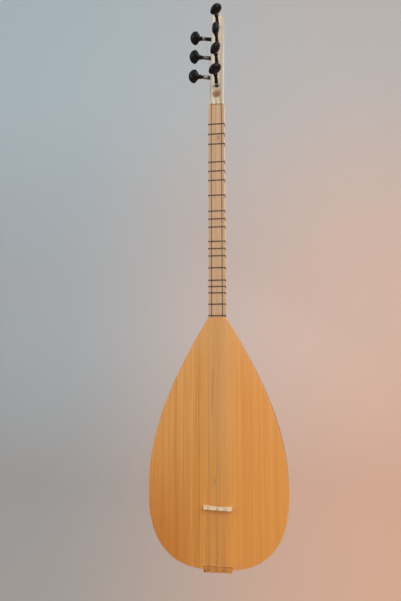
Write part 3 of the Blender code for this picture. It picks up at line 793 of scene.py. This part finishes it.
def eased(name: str, node: str, ease: float) -> Piece:
    """Copies a CAD node and rounds its edges.

    Args:
        name: The new piece's name.
        node: The CAD node.
        ease: The rounding's width.

    Returns:
        The copy, with a Bevel modifier.
    """
    work = bmesh.new()
    work.from_mesh(frame["nodes"][node].data)
    bmesh.ops.remove_doubles(work, verts=work.verts[:], dist=SAME_PLACE)
    bmesh.ops.dissolve_limit(work, angle_limit=FLAT_ANGLE, verts=work.verts[:], edges=work.edges[:])
    mesh = bpy.data.meshes.new(name)
    work.to_mesh(mesh)
    work.free()
    made = shown(name, mesh)
    bevel = made.modifiers.new("ease", "BEVEL")
    bevel.width = ease
    bevel.segments = 2
    bevel.limit_method = "ANGLE"
    bevel.angle_limit = EASED_ANGLE
    bevel.harden_normals = True
    return made


@dataclass
class Body:
    """The soundboard and the staved bowl, from the plan's width and the bowl's depth at each place."""

    neck_length: float = 0.391
    neck_width: float = 0.0284
    neck_depth: float = 0.0265
    length: float = 0.3935
    width: float = 0.2226
    widest_at: float = 0.272
    shoulder_power: float = 0.965
    tail_powers: tuple[float, float] = (2.45, 2.7)
    depth: float = 0.122
    deepest_at: float = 0.262
    ridge_power: float = 1.05
    bowl_tail_powers: tuple[float, float] = (2.2, 2.2)
    section_power: float = 2.3
    swell: float = 0.08
    board: float = 0.003
    wall: float = 0.003
    staves: int = 7
    edge: float = 0.0006
    tail_seat: float = 0.026
    notch_half: float = 0.0223
    notch_depth: float = 0.0038
    hole_at: float = 0.335
    hole_radius: float = 0.007
    hole_sides: int = 64
    glue_line: float = 0.00012
    least_girth: float = 0.02
    stave_columns: int = 15

    @property
    def end(self) -> float:
        """Where the tail is cut flat, which is where the plan is as wide as the tailpiece's seat.

        Returns:
            The place, from the neck.
        """
        along, across = self.tail_powers
        run = (1 - (self.tail_seat / (self.width / 2)) ** across) ** (1 / along)
        return self.widest_at + (self.length - self.widest_at) * run

    def half_width(self, s: np.ndarray) -> np.ndarray:
        """Half the plan's width: a sine raised to a power, then a superellipse to the tail.

        Args:
            s: Places along the body, from the neck.

        Returns:
            The half width at each place.
        """
        start, widest = self.neck_width / 2, self.width / 2
        rise = np.sin(math.pi / 2 * np.clip(s / self.widest_at, 0, 1)) ** self.shoulder_power
        run = np.clip((s - self.widest_at) / (self.length - self.widest_at), 0, 1)
        fall = (1 - run ** self.tail_powers[0]) ** (1 / self.tail_powers[1])
        return np.where(s <= self.widest_at, start + (widest - start) * rise, widest * fall)

    def bowl_depth(self, s: np.ndarray) -> np.ndarray:
        """The bowl's depth: a sine raised to a power, then a superellipse to the tail.

        Args:
            s: Places along the body, from the neck.

        Returns:
            The depth at each place, from the soundboard's back.
        """
        start = self.neck_depth - self.board - GAP
        rise = np.sin(math.pi / 2 * np.clip(s / self.deepest_at, 0, 1)) ** self.ridge_power
        run = np.clip((s - self.deepest_at) / (self.length - self.deepest_at), 0, 1)
        fall = (1 - run ** self.bowl_tail_powers[0]) ** (1 / self.bowl_tail_powers[1])
        return np.where(s <= self.deepest_at, start + (self.depth - start) * rise, self.depth * fall)

    def section(self, half: np.ndarray, depth: np.ndarray, turn: np.ndarray) -> tuple[np.ndarray, np.ndarray]:
        """A rounded ellipse that swells past its rim, from the right rim at turn 0 to the left at pi.

        Across is half * |cos|^(2/p) * (1 + swell * |sin 2t|), and down is depth * sin^(2/p).

        Args:
            half: Half the width.
            depth: The depth.
            turn: The turns, in radians.

        Returns:
            The places across and down.
        """
        power = 2 / self.section_power
        across = np.abs(np.cos(turn)) ** power * np.sign(np.cos(turn))
        down = np.clip(np.sin(turn), 0, 1) ** power
        return half * across * (1 + self.swell * np.abs(np.sin(2 * turn))), depth * down

    def stave_edges(self) -> np.ndarray:
        """Parts the staves where they are equally wide round the widest section.

        Returns:
            The turns of their edges, one more than there are staves.
        """
        turns = np.linspace(0, math.pi, 721)
        across, down = self.section(np.float64(self.width / 2), np.float64(self.depth), turns)
        run = np.concatenate([[0], np.cumsum(np.hypot(np.diff(across), np.diff(down)))])
        return np.interp(np.linspace(0, run[-1], self.staves + 1), run, turns)

    def stations(self, shoulder: int = 56, tail: int = 40) -> np.ndarray:
        """Places along the body, closer together at the tail by a sine.

        Args:
            shoulder: How many there are above the widest place.
            tail: How many steps there are below it.

        Returns:
            The places, from the neck.
        """
        first = np.linspace(0, self.widest_at, shoulder, endpoint=False)
        lean = np.linspace(0, math.pi / 2, tail + 1)
        return np.concatenate([first, self.widest_at + (self.end - self.widest_at) * np.sin(lean)])

    def soundboard(self) -> Piece:
        """The spruce top, with softened edges and a notch for the tailpiece's lip.

        The outline runs down the right side, round the notch and up the left. Each row of the skin
        is that outline drawn in by an inset, so that the edge is a quarter round on both faces.

        Returns:
            The soundboard.
        """
        s = self.stations(shoulder=150, tail=90)
        right = grid(self.half_width(s), -s)
        corners = np.array([[self.notch_half, -self.end], [self.notch_half, self.notch_depth - self.end]])
        half = np.concatenate([right, corners])
        outline = np.concatenate([half, half[::-1] * [-1, 1]])
        way = unit(np.roll(outline, -1, axis=0) - np.roll(outline, 1, axis=0))
        inward = grid(way[:, 1], -way[:, 0])
        angle = np.linspace(0, math.pi / 2, 4)
        inset = self.edge * (1 - np.sin(angle))
        level = self.edge * (1 - np.cos(angle))
        insets = np.concatenate([inset, inset[::-1]])
        levels = np.concatenate([level, self.board - level[::-1]])
        plan = outline[None] + insets[:, None, None] * inward[None]
        places = grid(plan[..., 0], levels[:, None], plan[..., 1] - self.neck_length)
        return skin("soundboard_top", LAYOUT.from_neck(places))

    def stave(self, number: int) -> Piece:
        """One bent stave: the outer face, then the inner face drawn in by the wall's thickness.

        Args:
            number: Which one, from 0 on the right.

        Returns:
            The stave. The middle one has the sound hole.
        """
        s = self.stations()[:, None]
        first, last = self.stave_edges()[number:number + 2]
        share = np.linspace(0, 1, self.stave_columns)[None, :]
        girth = np.maximum(self.half_width(s) + self.bowl_depth(s), self.least_girth)
        turns = first + (last - first) * share + self.glue_line / girth * (1 - 2 * share)
        rim = self.board + GAP
        loops = []
        for inset, order in ((0.0, 1), (self.wall, -1)):
            x, y = self.section(self.half_width(s) - inset, self.bowl_depth(s) - inset, turns)
            loops.append(grid(x, rim + y, -self.neck_length - s)[:, ::order])
        made = skin(f"bent_stave_{number + 1}", LAYOUT.from_neck(np.concatenate(loops, axis=1)))
        if number == self.staves // 2:
            turn = around(self.hole_sides)
            ends = np.array([0.5, 1.5])[:, None] * self.depth
            along = self.hole_radius * np.sin(turn) - self.neck_length - self.hole_at
            tool = grid(self.hole_radius * np.cos(turn), ends, along)
            carve(made, [skin("hole_tool", LAYOUT.from_neck(tool))])
        return made

    def build(self, spruce: bpy.types.Material, walnuts: list[bpy.types.Material]) -> None:
        """Builds and dresses the top and the staves.

        Args:
            spruce: The top's finish.
            walnuts: The staves' finishes, which they take by turns.
        """
        dress(self.soundboard(), spruce, "instrument", ["soundboard"])
        for number in range(self.staves):
            walnut = walnuts[number % len(walnuts)]
            dress(self.stave(number), walnut, "instrument", [f"bowl_stave_{number + 1}"])


@dataclass
class Neck:
    """The neck's rounded back, which swells towards the body."""

    body: Body
    depth_at_nut: float = 0.0225
    face: float = 0.0033
    rows: int = 24

    def profile(self, z: np.ndarray, columns: int = 49, lift: float = 0.0) -> np.ndarray:
        """The neck's outline from its right edge round its back to its left, at each height z.

        Args:
            z: The heights.
            columns: How many places the outline has.
            lift: How far off the wood the outline runs, along its outward direction.

        Returns:
            The places, heights by columns by 2, as x and y.
        """
        share = -z / self.body.neck_length
        depth = self.depth_at_nut + (self.body.neck_depth - self.depth_at_nut) * share - self.face
        turns = np.linspace(0, math.pi, columns)[None, :]
        x, y = self.body.section(np.float64(self.body.neck_width / 2), depth[:, None], turns)
        places = grid(x, self.face + y)
        way = unit(np.gradient(places, axis=1))
        outward = grid(way[..., 1], -way[..., 0])
        outward[:, 0] = (1.0, 0.0)
        outward[:, -1] = (-1.0, 0.0)
        return places + lift * outward

    def build(self, finish: bpy.types.Material) -> None:
        """Builds and dresses the neck, its upper end on the slanted joint with the headstock.

        Args:
            finish: The neck's finish.
        """
        z = np.linspace(0.0, GAP - self.body.neck_length, self.rows)
        outline = self.profile(z)
        heights = np.broadcast_to(z[:, None], outline.shape[:2]).copy()
        heights[0] = -outline[0, :, 1] * math.tan(LAYOUT.tilt) - GAP
        places = grid(outline[..., 0], outline[..., 1], heights)
        dress(skin("neck_shaft", LAYOUT.from_neck(places)), finish, "instrument", ["neck"])


class PegKind(Enum):
    """Which face of the headstock a peg stands out of, with what the pegs of that face share."""

    FRONT = (0.038, LAYOUT.head_depth, 0.0)
    SIDE = (0.032, 0.0208, -90.0)

    def __init__(self, reach: float, depth: float, start: float) -> None:
        """Keeps a kind's numbers.

        Args:
            reach: How far the head's middle stands out of the wood.
            depth: How far the peg goes into the wood.
            start: The turn at which the string meets the peg, in degrees.
        """
        self.reach = reach
        self.depth = depth
        self.start = start


@dataclass
class TuningPeg:
    """A turned friction peg and the string's rounds on it, along the axis of its joint.

    The turn is how the player left the head, in degrees, and the seat is where along the shaft the string
    comes in. Places along the peg count outwards from the wood's face.
    """

    name: str
    kind: PegKind
    turn: float
    seat: float
    rounds: int
    width: float = 0.0245
    thickness: float = 0.014
    flare: float = 0.0105
    crown: float = 0.0115
    collar: float = 0.0043
    collar_length: float = 0.0025
    throat: float = 0.82
    waist: float = 0.0030
    taper: float = 0.030
    tip_recess: float = 0.0005
    tip_round: float = 0.0006
    tip_length: float = 0.002
    bead_power: float = 0.6
    edge_power: float = 0.8
    clearance: float = 0.00018
    pitch: float = 0.00072
    play: float = 0.0001
    overrun: float = 0.003
    sides: int = 48
    steps: int = 30

    @property
    def shoulder(self) -> float:
        """Where the shaft meets the collar."""
        return self.kind.reach - self.flare - self.collar_length

    @property
    def axes(self) -> tuple[np.ndarray, np.ndarray]:
        """The peg's own frame, from its joint and the headstock's axes.

        Returns:
            Where the peg starts, and its three axes as rows.
        """
        joint = next(joint for joint in frame["joints"] if joint["name"] == self.name + "_turn")
        along = np.array(joint["axis"])
        over = LAYOUT.turn[:, 2] if self.kind is PegKind.FRONT else LAYOUT.turn[:, 1]
        return np.array(joint["pos_m"]), np.stack([np.cross(over, along), over, along])

    def set(self, places: np.ndarray) -> np.ndarray:
        """Moves places from the peg's frame to the shared one."""
        start, axes = self.axes
        return places @ axes + start

    def radius(self, place: np.ndarray | float) -> np.ndarray | float:
        """The shaft's radius at a place along it, thicker towards the tip by an even taper."""
        return self.waist + self.taper * (self.shoulder - place)

    def outline(self) -> np.ndarray:
        """The peg's profile, from its tip to its head.

        A rounded tip, a straight taper, a bead for a collar, a flare by (1 - cos) / 2 and a crown by an
        ellipse. The thickness follows the width by a power, so that the head is flat in the middle.

        Returns:
            The place, half width and half thickness of each ring.
        """
        lean = np.linspace(0, math.pi / 2, 6)[::-1]
        ends = grid(self.tip_recess - self.kind.depth + self.tip_round * (1 - np.sin(lean)),
                    self.radius(-self.kind.depth) - self.tip_round * (1 - np.cos(lean)))
        along = np.linspace(self.tip_length - self.kind.depth, self.shoulder, 8)
        shaft = grid(along, self.radius(along))
        angle = np.linspace(-0.85, 0.85, 9) * math.pi / 2
        bead = grid(self.shoulder + self.collar_length * (1 + np.sin(angle)) / 2,
                    self.waist + (self.collar - self.waist) * np.cos(angle) ** self.bead_power)
        round_part = np.concatenate([[[ends[0, 0], 0.0]], ends, shaft, bead])
        share = np.linspace(0.08, 1, 18)
        swell = (1 - np.cos(math.pi * share)) / 2
        neck = self.throat * self.collar
        flare = grid(self.shoulder + self.collar_length + self.flare * share,
                     neck + (self.width / 2 - neck) * swell,
                     neck + (self.thickness / 2 - neck) * swell ** self.edge_power)
        angle = np.linspace(0.06, 1, 18) * math.pi / 2
        crown = grid(self.kind.reach + self.crown * np.sin(angle),
                     self.width / 2 * np.cos(angle),
                     self.thickness / 2 * np.cos(angle) ** self.edge_power)
        return np.concatenate([round_part[:, [0, 1, 1]], flare, crown])

    def peg(self) -> Piece:
        """The peg: its profile carried round the axis as an ellipse, turned as the player left it.

        Returns:
            The peg, closed where its profile meets the axis.
        """
        place, wide, thick = self.outline().T[:, :, None]
        angle = around(self.sides)
        x, y = wide * np.cos(angle), thick * np.sin(angle)
        cos, sin = math.cos(math.radians(self.turn)), math.sin(math.radians(self.turn))
        places = grid(cos * x - sin * y, sin * x + cos * y, place)
        return skin(self.name + "_turned", self.set(places), caps=False)

    def winding(self, node: str) -> Piece:
        """The string's rounds: a helix that rides on the taper, close beside the string's end.

        Args:
            node: The winding's CAD node.

        Returns:
            The winding.
        """
        wire = GAUGES[node.removesuffix("_winding")]
        rounds = np.linspace(0, self.rounds, self.rounds * self.steps + 1)
        place = self.seat + wire + GAP + self.pitch * rounds
        radius = self.radius(place) + self.clearance + wire / 2
        angle = math.radians(self.kind.start) + 2 * math.pi * rounds
        path = grid(radius * np.cos(angle), radius * np.sin(angle), place)
        return sweep(node + "_coil", self.set(path), wire / 2, self.axes[1][2])

    def hole(self) -> Piece:
        """The tapered hole for the peg. A face peg's goes through, and a side peg's stops in the wood.

        Returns:
            The tool to cut it with, which starts outside the wood.
        """
        far = self.kind.depth + (self.overrun if self.kind is PegKind.FRONT else 0.0)
        place = np.array([-far, self.overrun])[:, None]
        radius = self.radius(place) + self.play
        angle = around(self.sides)
        return skin("bore_tool", self.set(grid(radius * np.cos(angle), radius * np.sin(angle), place)))

    def build(self, lacquer: bpy.types.Material, steel: bpy.types.Material) -> None:
        """Builds and dresses the peg and its rounds of string.

        Args:
            lacquer: The peg's finish.
            steel: The string's finish.
        """
        dress(self.peg(), lacquer, self.name, [self.name])
        members = frame["record"]["behaviour"]["bodies"][self.name]
        node = next(member for member in members if member.endswith("_winding"))
        dress(self.winding(node), steel, self.name, [node])


@dataclass
class Headstock:
    """The headstock: chamfered in front, rounded behind, hollowed above the nut and bored for pegs."""

    pegs: list[TuningPeg]
    length: float = 0.222
    width_at_nut: float = 0.0244
    width_at_top: float = 0.0232
    root_depth: float = 0.0222
    root_length: float = 0.032
    chamfer: float = 0.0022
    back_radius: float = 0.003
    root_radius: float = 0.0095
    end_chamfer: float = 0.0015
    hollow_width: float = 0.0186
    hollow_length: float = 0.0235
    hollow_depth: float = 0.0032
    hollow_rise: float = 0.0004
    hollow_at: float = 0.0268
    nut_height: float = 0.0022
    nut_slot: float = 0.003
    nut_thickness: float = 0.005

    def shell(self) -> Piece:
        """The outside: at each place a chamfered front and an arc of the back radius at both rear corners.

        The depth and the back radius grow towards the root by the square of what is left of its length.

        Returns:
            The uncut headstock.
        """
        root = np.linspace(0, self.root_length, 14)
        top = np.array([0.5, 1.0]) * (self.length - self.end_chamfer)
        s = np.concatenate([root, top, [self.length]])[:, None]
        inset = np.zeros_like(s)
        inset[-1] = self.end_chamfer
        fade = np.clip(1 - s / self.root_length, 0, 1) ** 2
        depth = LAYOUT.head_depth + (self.root_depth - LAYOUT.head_depth) * fade - inset
        radius = self.back_radius + (self.root_radius - self.back_radius) * fade
        half = (self.width_at_nut + (self.width_at_top - self.width_at_nut) * s / self.length) / 2 - inset
        turn = np.linspace(0, math.pi / 2, 10)[None, :]
        x = np.concatenate([half - self.chamfer, half, half - radius + radius * np.cos(turn)], axis=1)
        y = np.concatenate([inset, inset + self.chamfer, depth - radius + radius * np.sin(turn)], axis=1)
        x = np.concatenate([x, -x[:, ::-1]], axis=1)
        y = np.concatenate([y, y[:, ::-1]], axis=1)
        return skin("headstock_shaft", LAYOUT.from_head(grid(x, y, s)))

    def hollow(self) -> Piece:
        """The hollow: an ellipsoid sunk in the face.

        Returns:
            The tool to cut it with.
        """
        pole = np.linspace(0, math.pi, 33)[:, None]
        turn = around(64)
        x = self.hollow_width / 2 * np.sin(pole) * np.cos(turn)
        y = self.hollow_depth * np.sin(pole) * np.sin(turn) - self.hollow_rise
        z = self.hollow_at - self.hollow_length / 2 * np.cos(pole)
        return skin("hollow_tool", LAYOUT.from_head(grid(x, y, z)), caps=False)

    def slot(self) -> Piece:
        """The nut's slot: a box across the root.

        Returns:
            The tool to cut it with.
        """
        x = self.width_at_nut * np.array([-1, 1, 1, -1])
        y = np.array([-self.nut_height, -self.nut_height, self.nut_slot, self.nut_slot])
        z = np.array([-GAP, 2 * GAP + self.nut_thickness])[:, None]
        return skin("slot_tool", LAYOUT.from_head(grid(x, y, z)))

    def build(self, maple: bpy.types.Material) -> None:
        """Builds, cuts and dresses the headstock.

        Args:
            maple: The headstock's finish.
        """
        made = self.shell()
        carve(made, [self.slot(), self.hollow()] + [peg.hole() for peg in self.pegs])
        dress(made, maple, "instrument", ["headstock"])


@dataclass
class TiedFret:
    """A fret: nylon line wound twice round the neck and knotted behind its bass edge."""

    number: int
    neck: Neck
    strand: float = 0.0007
    turns: int = 2
    pitch: float = 0.00115
    clearance: float = 0.00014
    columns: int = 49
    knot: float = 0.00030
    knot_at: float = 0.86
    knot_lift: float = 0.7
    knot_strand: float = 0.42

    @property
    def node(self) -> str:
        """The fret's CAD node and body."""
        return f"fret_{self.number:02d}"

    @property
    def height(self) -> float:
        """The fret's place along the neck: the middle of its face strands, read from the frame."""
        low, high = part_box(self.node)
        return (low[2] + high[2] - self.pitch) / 2 - LAYOUT.start[2]

    def loop(self) -> np.ndarray:
        """One turn of the line.

        It is level across the face from left to right, goes round the edges by quarter circles, and
        climbs one pitch behind the neck.

        Returns:
            The places, with the height counted from the turn's start.
        """
        lift = self.clearance + self.strand / 2
        half = self.neck.body.neck_width / 2
        bend = np.linspace(0, math.pi / 2, 5)[:-1]
        left = grid(-half - lift * np.cos(bend), -lift * np.sin(bend))
        face = grid(np.linspace(-half, half, 9), -lift)
        right = grid(half + lift * np.sin(bend[1:]), -lift * np.cos(bend[1:]))
        back = self.neck.profile(np.array([self.height]), self.columns, lift)[0]
        line = np.concatenate([left, face, right, back])
        level = np.zeros(len(line))
        level[-self.columns:] = np.linspace(0, self.pitch, self.columns)
        return grid(line[:, 0], line[:, 1], level)

    def tie(self, back: np.ndarray) -> Piece:
        """The knot: a curve of three lobes, laid flat on the neck.

        It is (sin t + 2 sin 2t, cos t - 2 cos 2t, -sin 3t).

        Args:
            back: The line's places behind the neck.

        Returns:
            The knot.
        """
        at = int(self.knot_at * (len(back) - 1))
        way = unit(np.array([*(back[at + 1] - back[at - 1])[:2], 0.0]))
        outward = np.array([way[1], -way[0], 0.0])
        t = np.linspace(0, 2 * math.pi, 72)
        flat = grid(np.sin(t) + 2 * np.sin(2 * t), np.cos(t) - 2 * np.cos(2 * t), -np.sin(3 * t))
        middle = np.array([*back[at][:2], self.height]) + outward * self.strand * self.knot_lift
        axes = np.stack([way, [0.0, 0.0, 1.0], outward])
        path = LAYOUT.from_neck(middle + self.knot * flat @ axes)
        return sweep("knot", path, self.strand * self.knot_strand, outward + 0.01 * way, 6)

    def build(self, nylon: bpy.types.Material) -> None:
        """Builds and dresses the fret.

        Args:
            nylon: The line's finish.
        """
        loop = self.loop()
        first = self.height - (self.turns - 1) / 2 * self.pitch
        path = np.concatenate([loop + [0.0, 0.0, first + turn * self.pitch] for turn in range(self.turns)])
        apart = np.linalg.norm(np.diff(path, axis=0), axis=1) > SAME_PLACE
        path = path[np.concatenate([[True], apart])]
        cord = sweep("cord", LAYOUT.from_neck(path), self.strand / 2, np.array([0.0, 0.0, 1.0]))
        made = joined(f"tied_{self.node}", [cord, self.tie(loop[-self.columns:])])
        dress(made, nylon, self.node, [self.node])


@dataclass
class Fittings:
    """The small pieces that keep their CAD shape: nut, bridge, tailpiece, inlays, strings and blocks."""

    nut_ease: float = 0.00015
    bridge_ease: float = 0.00018
    tail_ease: float = 0.0004

    def build(self, finishes: dict[str, bpy.types.Material]) -> None:
        """Eases the edges of the wooden ones, and gives every other CAD node its finish.

        Args:
            finishes: The materials by name.
        """
        nut = eased("nut_eased", "nut", self.nut_ease)
        dress(nut, finishes["nut"], "instrument", ["nut"])
        bridge = eased("bridge_eased", "bridge", self.bridge_ease)
        dress(bridge, finishes["bridge"], "bridge", ["bridge"])
        tail = eased("tailpiece_eased", "tailpiece", self.tail_ease)
        dress(tail, finishes["tail"], "instrument", ["tailpiece"])
        plain = {
            "board": ["fingerboard"],
            "strip": ["purfling_left", "purfling_right"],
            "inner": ["neck_block", "tail_block", "upper_brace", "lower_brace"],
            "steel": list(GAUGES),
        }
        for finish, nodes in plain.items():
            for node in nodes:
                paint(frame["nodes"][node], finishes[finish])
                log.info("%s: %s", node, finish)


@dataclass(frozen=True)
class Lamp:
    """A square soft lamp that looks at the body: its side in metres and its power in watts."""

    name: str
    place: Place
    side: float
    power: float
    colour: Colour
    target: Place = (0.0, 0.0, -0.5)

    def build(self) -> None:
        """Hangs the lamp."""
        data = bpy.data.lights.new(self.name, "AREA")
        data.size = self.side
        data.energy = self.power
        data.color = self.colour
        look = Vector(self.target) - Vector(self.place)
        turn = look.to_track_quat("-Z", "Y").to_matrix().to_4x4()
        linked(self.name, data).matrix_world = Matrix.Translation(Vector(self.place)) @ turn


@dataclass
class Studio:
    """The camera at the photograph's place, soft lamps, and a pale wall and floor."""

    eye: Place = (0.0682, -0.8213, -0.6111)
    yaw: float = 7.00
    pitch: float = 9.93
    roll: float = -0.16
    lens: float = 28.26
    film: float = 36.0
    nearest: float = 0.01
    lamps: tuple[Lamp, ...] = (
        Lamp("window", (1.5, -1.7, 0.5), 1.5, 24.0, (1.0, 0.97, 0.93)),
        Lamp("fill", (-1.7, -1.3, -0.2), 1.3, 8.0, (0.92, 0.96, 1.0)),
        Lamp("back_fill", (0.9, 1.9, 0.9), 1.4, 9.0, (1.0, 1.0, 1.0)),
    )
    wall_at: float = 2.8
    floor_at: float = -2.35
    sweep_radius: float = 1.0
    extent: float = 40.0
    blend_across: tuple[float, float] = (-1.7, 1.0)
    blend_height: float = 2.2
    # The wall's tones are painted light: cool blue to the left, warm peach to the lower right, a greyer shade low
    # on the left.
    top_left: Colour = srgb(213, 234, 245)
    top_right: Colour = srgb(231, 232, 233)
    left: Colour = srgb(202, 213, 220)
    right: Colour = srgb(252, 225, 210)
    shaded_low_left: Colour = srgb(189, 186, 183)
    low_right: Colour = srgb(243, 199, 172)
    seen: Colour = srgb(190, 192, 194)
    daylight: float = 0.62

    def camera(self) -> None:
        """The camera: turned by its yaw, pitch and roll from a level look along +Y."""
        data = bpy.data.cameras.new("camera")
        data.lens = self.lens
        data.sensor_width = self.film
        data.clip_start = self.nearest
        made = linked("camera", data)
        made.matrix_world = Matrix.Translation(Vector(self.eye))
        for degrees, axis in ((self.yaw, "Z"), (self.pitch, "X"), (self.roll, "Y"), (90.0, "X")):
            made.matrix_world = made.matrix_world @ Matrix.Rotation(math.radians(degrees), 4, axis)
        bpy.context.scene.camera = made

    def backdrop(self) -> None:
        """The wall and floor: one sheet, swept round a quarter circle where they meet."""
        angle = np.linspace(0, math.pi / 2, 24)
        back, low = self.wall_at - self.sweep_radius, self.floor_at + self.sweep_radius
        bend = grid(back + self.sweep_radius * np.sin(angle), low - self.sweep_radius * np.cos(angle))
        line = np.concatenate([[[-self.extent, self.floor_at]], bend, [[self.wall_at, self.extent]]])
        places = grid(np.array([-self.extent, self.extent]), line[:, :1], line[:, 1:])
        index = np.arange(len(line) * 2).reshape(-1, 2)
        faces = np.stack([index[:-1, 0], index[:-1, 1], index[1:, 1], index[1:, 0]], axis=1)
        mesh = bpy.data.meshes.new("backdrop")
        mesh.from_pydata(places.reshape(-1, 3).tolist(), [], faces.tolist())
        mesh.shade_smooth()
        made = linked("backdrop", mesh)
        paint(made, self.wall_paint())

    def wall_paint(self) -> bpy.types.Material:
        """The wall's colour: six tones of painted light, cool on the left, warm on the lower right and greyer low
        on the left, blended across and upwards by smooth steps with a slow cloud.

        Returns:
            The material.
        """
        nodes = Nodes(bpy.data.materials.new("painted wall"))
        x, _, z = nodes.split(nodes.place())
        cloud = 0.2 * (nodes.noise(nodes.place(), 0.7, 2.0) - 0.5)
        across = x.step(*self.blend_across) + cloud
        top = nodes.mix(across, self.top_left, self.top_right)
        middle = nodes.mix(across, self.left, self.right)
        low = nodes.mix(across, self.shaded_low_left, self.low_right)
        lower = nodes.mix(z.step(-self.blend_height, 0.0), low, middle)
        return nodes.finish(nodes.mix(z.step(0.0, self.blend_height), lower, top), 0.9)

    def world(self) -> None:
        """An even white sky, which shows to the camera in the tone of the pale wall."""
        nodes = Nodes(bpy.data.worlds.new("daylight"))
        bpy.context.scene.world = nodes.owner
        sky = nodes.tree.nodes["Background"]
        nodes.feed(sky.inputs["Color"], (1.0, 1.0, 1.0))
        nodes.feed(sky.inputs["Strength"], self.daylight)
        seen = nodes.add("ShaderNodeBackground", None, {"Color": self.seen})
        straight = nodes.add("ShaderNodeLightPath", output="Is Camera Ray")
        through = nodes.add("ShaderNodeLightPath", output="Is Transmission Ray")
        rays = nodes.add("ShaderNodeMath", {"operation": "MAXIMUM"}, {0: straight, 1: through})
        mixed = nodes.add("ShaderNodeMixShader", None, {0: rays, 1: Value(nodes, sky.outputs[0]), 2: seen})
        nodes.feed(nodes.tree.nodes["World Output"].inputs["Surface"], mixed)

    def build(self) -> None:
        """Sets up everything that isn't the instrument."""
        self.camera()
        for lamp in self.lamps:
            lamp.build()
        self.backdrop()
        self.world()
        bpy.context.scene.view_settings.view_transform = "Standard"


def make_finishes() -> dict[str, bpy.types.Material]:
    """Makes every finish of the instrument.

    Returns:
        The materials by the name that the builders use.
    """
    hollow = Vector((0.0, -Headstock.hollow_rise, Headstock.hollow_at))
    origin = Vector((0.0, LAYOUT.head_depth, LAYOUT.hanger_at))
    low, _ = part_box("tailpiece")
    return {
        "top": SpruceTop("spruce top", srgb(234, 172, 88), srgb(190, 112, 34), fibres=2400, stretch=160,
                         contrast=0.72, bands=0.26, roughness=0.38, varnish=0.12).make(),
        "bowl": Wood("bowl walnut", srgb(118, 72, 44), srgb(60, 34, 20), fibres=1300, stretch=45,
                     contrast=0.8, bands=0.5, roughness=0.36, varnish=0.35).make(),
        "paler bowl": Wood("paler bowl walnut", srgb(138, 90, 56), srgb(78, 47, 29), fibres=1150, stretch=38,
                           contrast=0.8, bands=0.5, roughness=0.36, varnish=0.35).make(),
        "neck": Wood("neck wood", srgb(216, 174, 126), srgb(176, 130, 84), fibres=1600, stretch=70,
                     contrast=0.6, bands=0.4, roughness=0.42).make(),
        "board": BoardWood("fingerboard wood", srgb(222, 186, 142), srgb(186, 144, 102), fibres=2200,
                           stretch=80, contrast=0.6, bands=0.35, roughness=0.44, varnish=0.15).make(),
        "head": HeadMaple("pale maple", srgb(234, 221, 196), srgb(208, 188, 156), fibres=1900, stretch=60,
                          contrast=0.55, bands=0.3, roughness=0.4, tip=LAYOUT.tilt,
                          shift=tuple(origin - hollow),
                          hollow_half=(Headstock.hollow_width / 2, Headstock.hollow_length / 2)).make(),
        "nut": Wood("nut maple", srgb(238, 228, 206), srgb(212, 194, 162), fibres=2600, stretch=8,
                    contrast=0.45, bands=0.2, roughness=0.3, varnish=0.4).make(),
        "bridge": Wood("bridge maple", srgb(246, 228, 192), srgb(222, 194, 150), fibres=2200, stretch=1.0,
                       contrast=0.4, bands=0.15, roughness=0.45, varnish=0.1).make(),
        "tail": TailWood("tailpiece wood", srgb(222, 156, 78), srgb(170, 104, 40), fibres=1800, stretch=0.06,
                         contrast=0.7, bands=0.4, roughness=0.38, corner=(low[0], low[2])).make(),
        "inner": Wood("inner lime wood", srgb(206, 180, 140), srgb(176, 146, 104), fibres=1500, stretch=50,
                      contrast=0.5, bands=0.3, roughness=0.7, varnish=0.0).make(),
        "strip": Wood("dark strip", srgb(132, 94, 64), srgb(92, 60, 38), fibres=2400, stretch=60,
                      contrast=0.7, bands=0.3, roughness=0.45, varnish=0.15).make(),
        "peg": Lacquer().make(),
        "steel": Wire().make(),
        "nylon": Nylon().make(),
    }


def make_pegs() -> list[TuningPeg]:
    """Lists the pegs as the player left them.

    Returns:
        The face pegs from the nut up, and then the side pegs.
    """
    front = [(28.0, 0.0042, 6), (52.0, 0.0042, 6), (88.0, 0.0042, 6), (35.0, 0.0042, 6)]
    side = [(-35.0, 0.0040, 12), (-48.0, 0.0055, 11), (-51.0, 0.0130, 6)]
    pegs = [TuningPeg(f"front_peg_{i + 1}", PegKind.FRONT, *facts) for i, facts in enumerate(front)]
    return pegs + [TuningPeg(f"side_peg_{i + 1}", PegKind.SIDE, *facts) for i, facts in enumerate(side)]


def main() -> None:
    """Builds the looks over the frame, piece by piece."""
    logging.basicConfig(level=logging.INFO, format="%(name)s: %(message)s")
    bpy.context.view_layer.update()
    finishes = make_finishes()
    body = Body()
    neck = Neck(body)
    pegs = make_pegs()
    body.build(finishes["top"], [finishes["bowl"], finishes["paler bowl"]])
    neck.build(finishes["neck"])
    Headstock(pegs).build(finishes["head"])
    for peg in pegs:
        peg.build(finishes["peg"], finishes["steel"])
    for number in range(FRET_COUNT):
        TiedFret(number + 1, neck).build(finishes["nylon"])
    Fittings().build(finishes)
    Studio().build()
    bpy.context.view_layer.update()


if __name__ == "__main__":
    main()
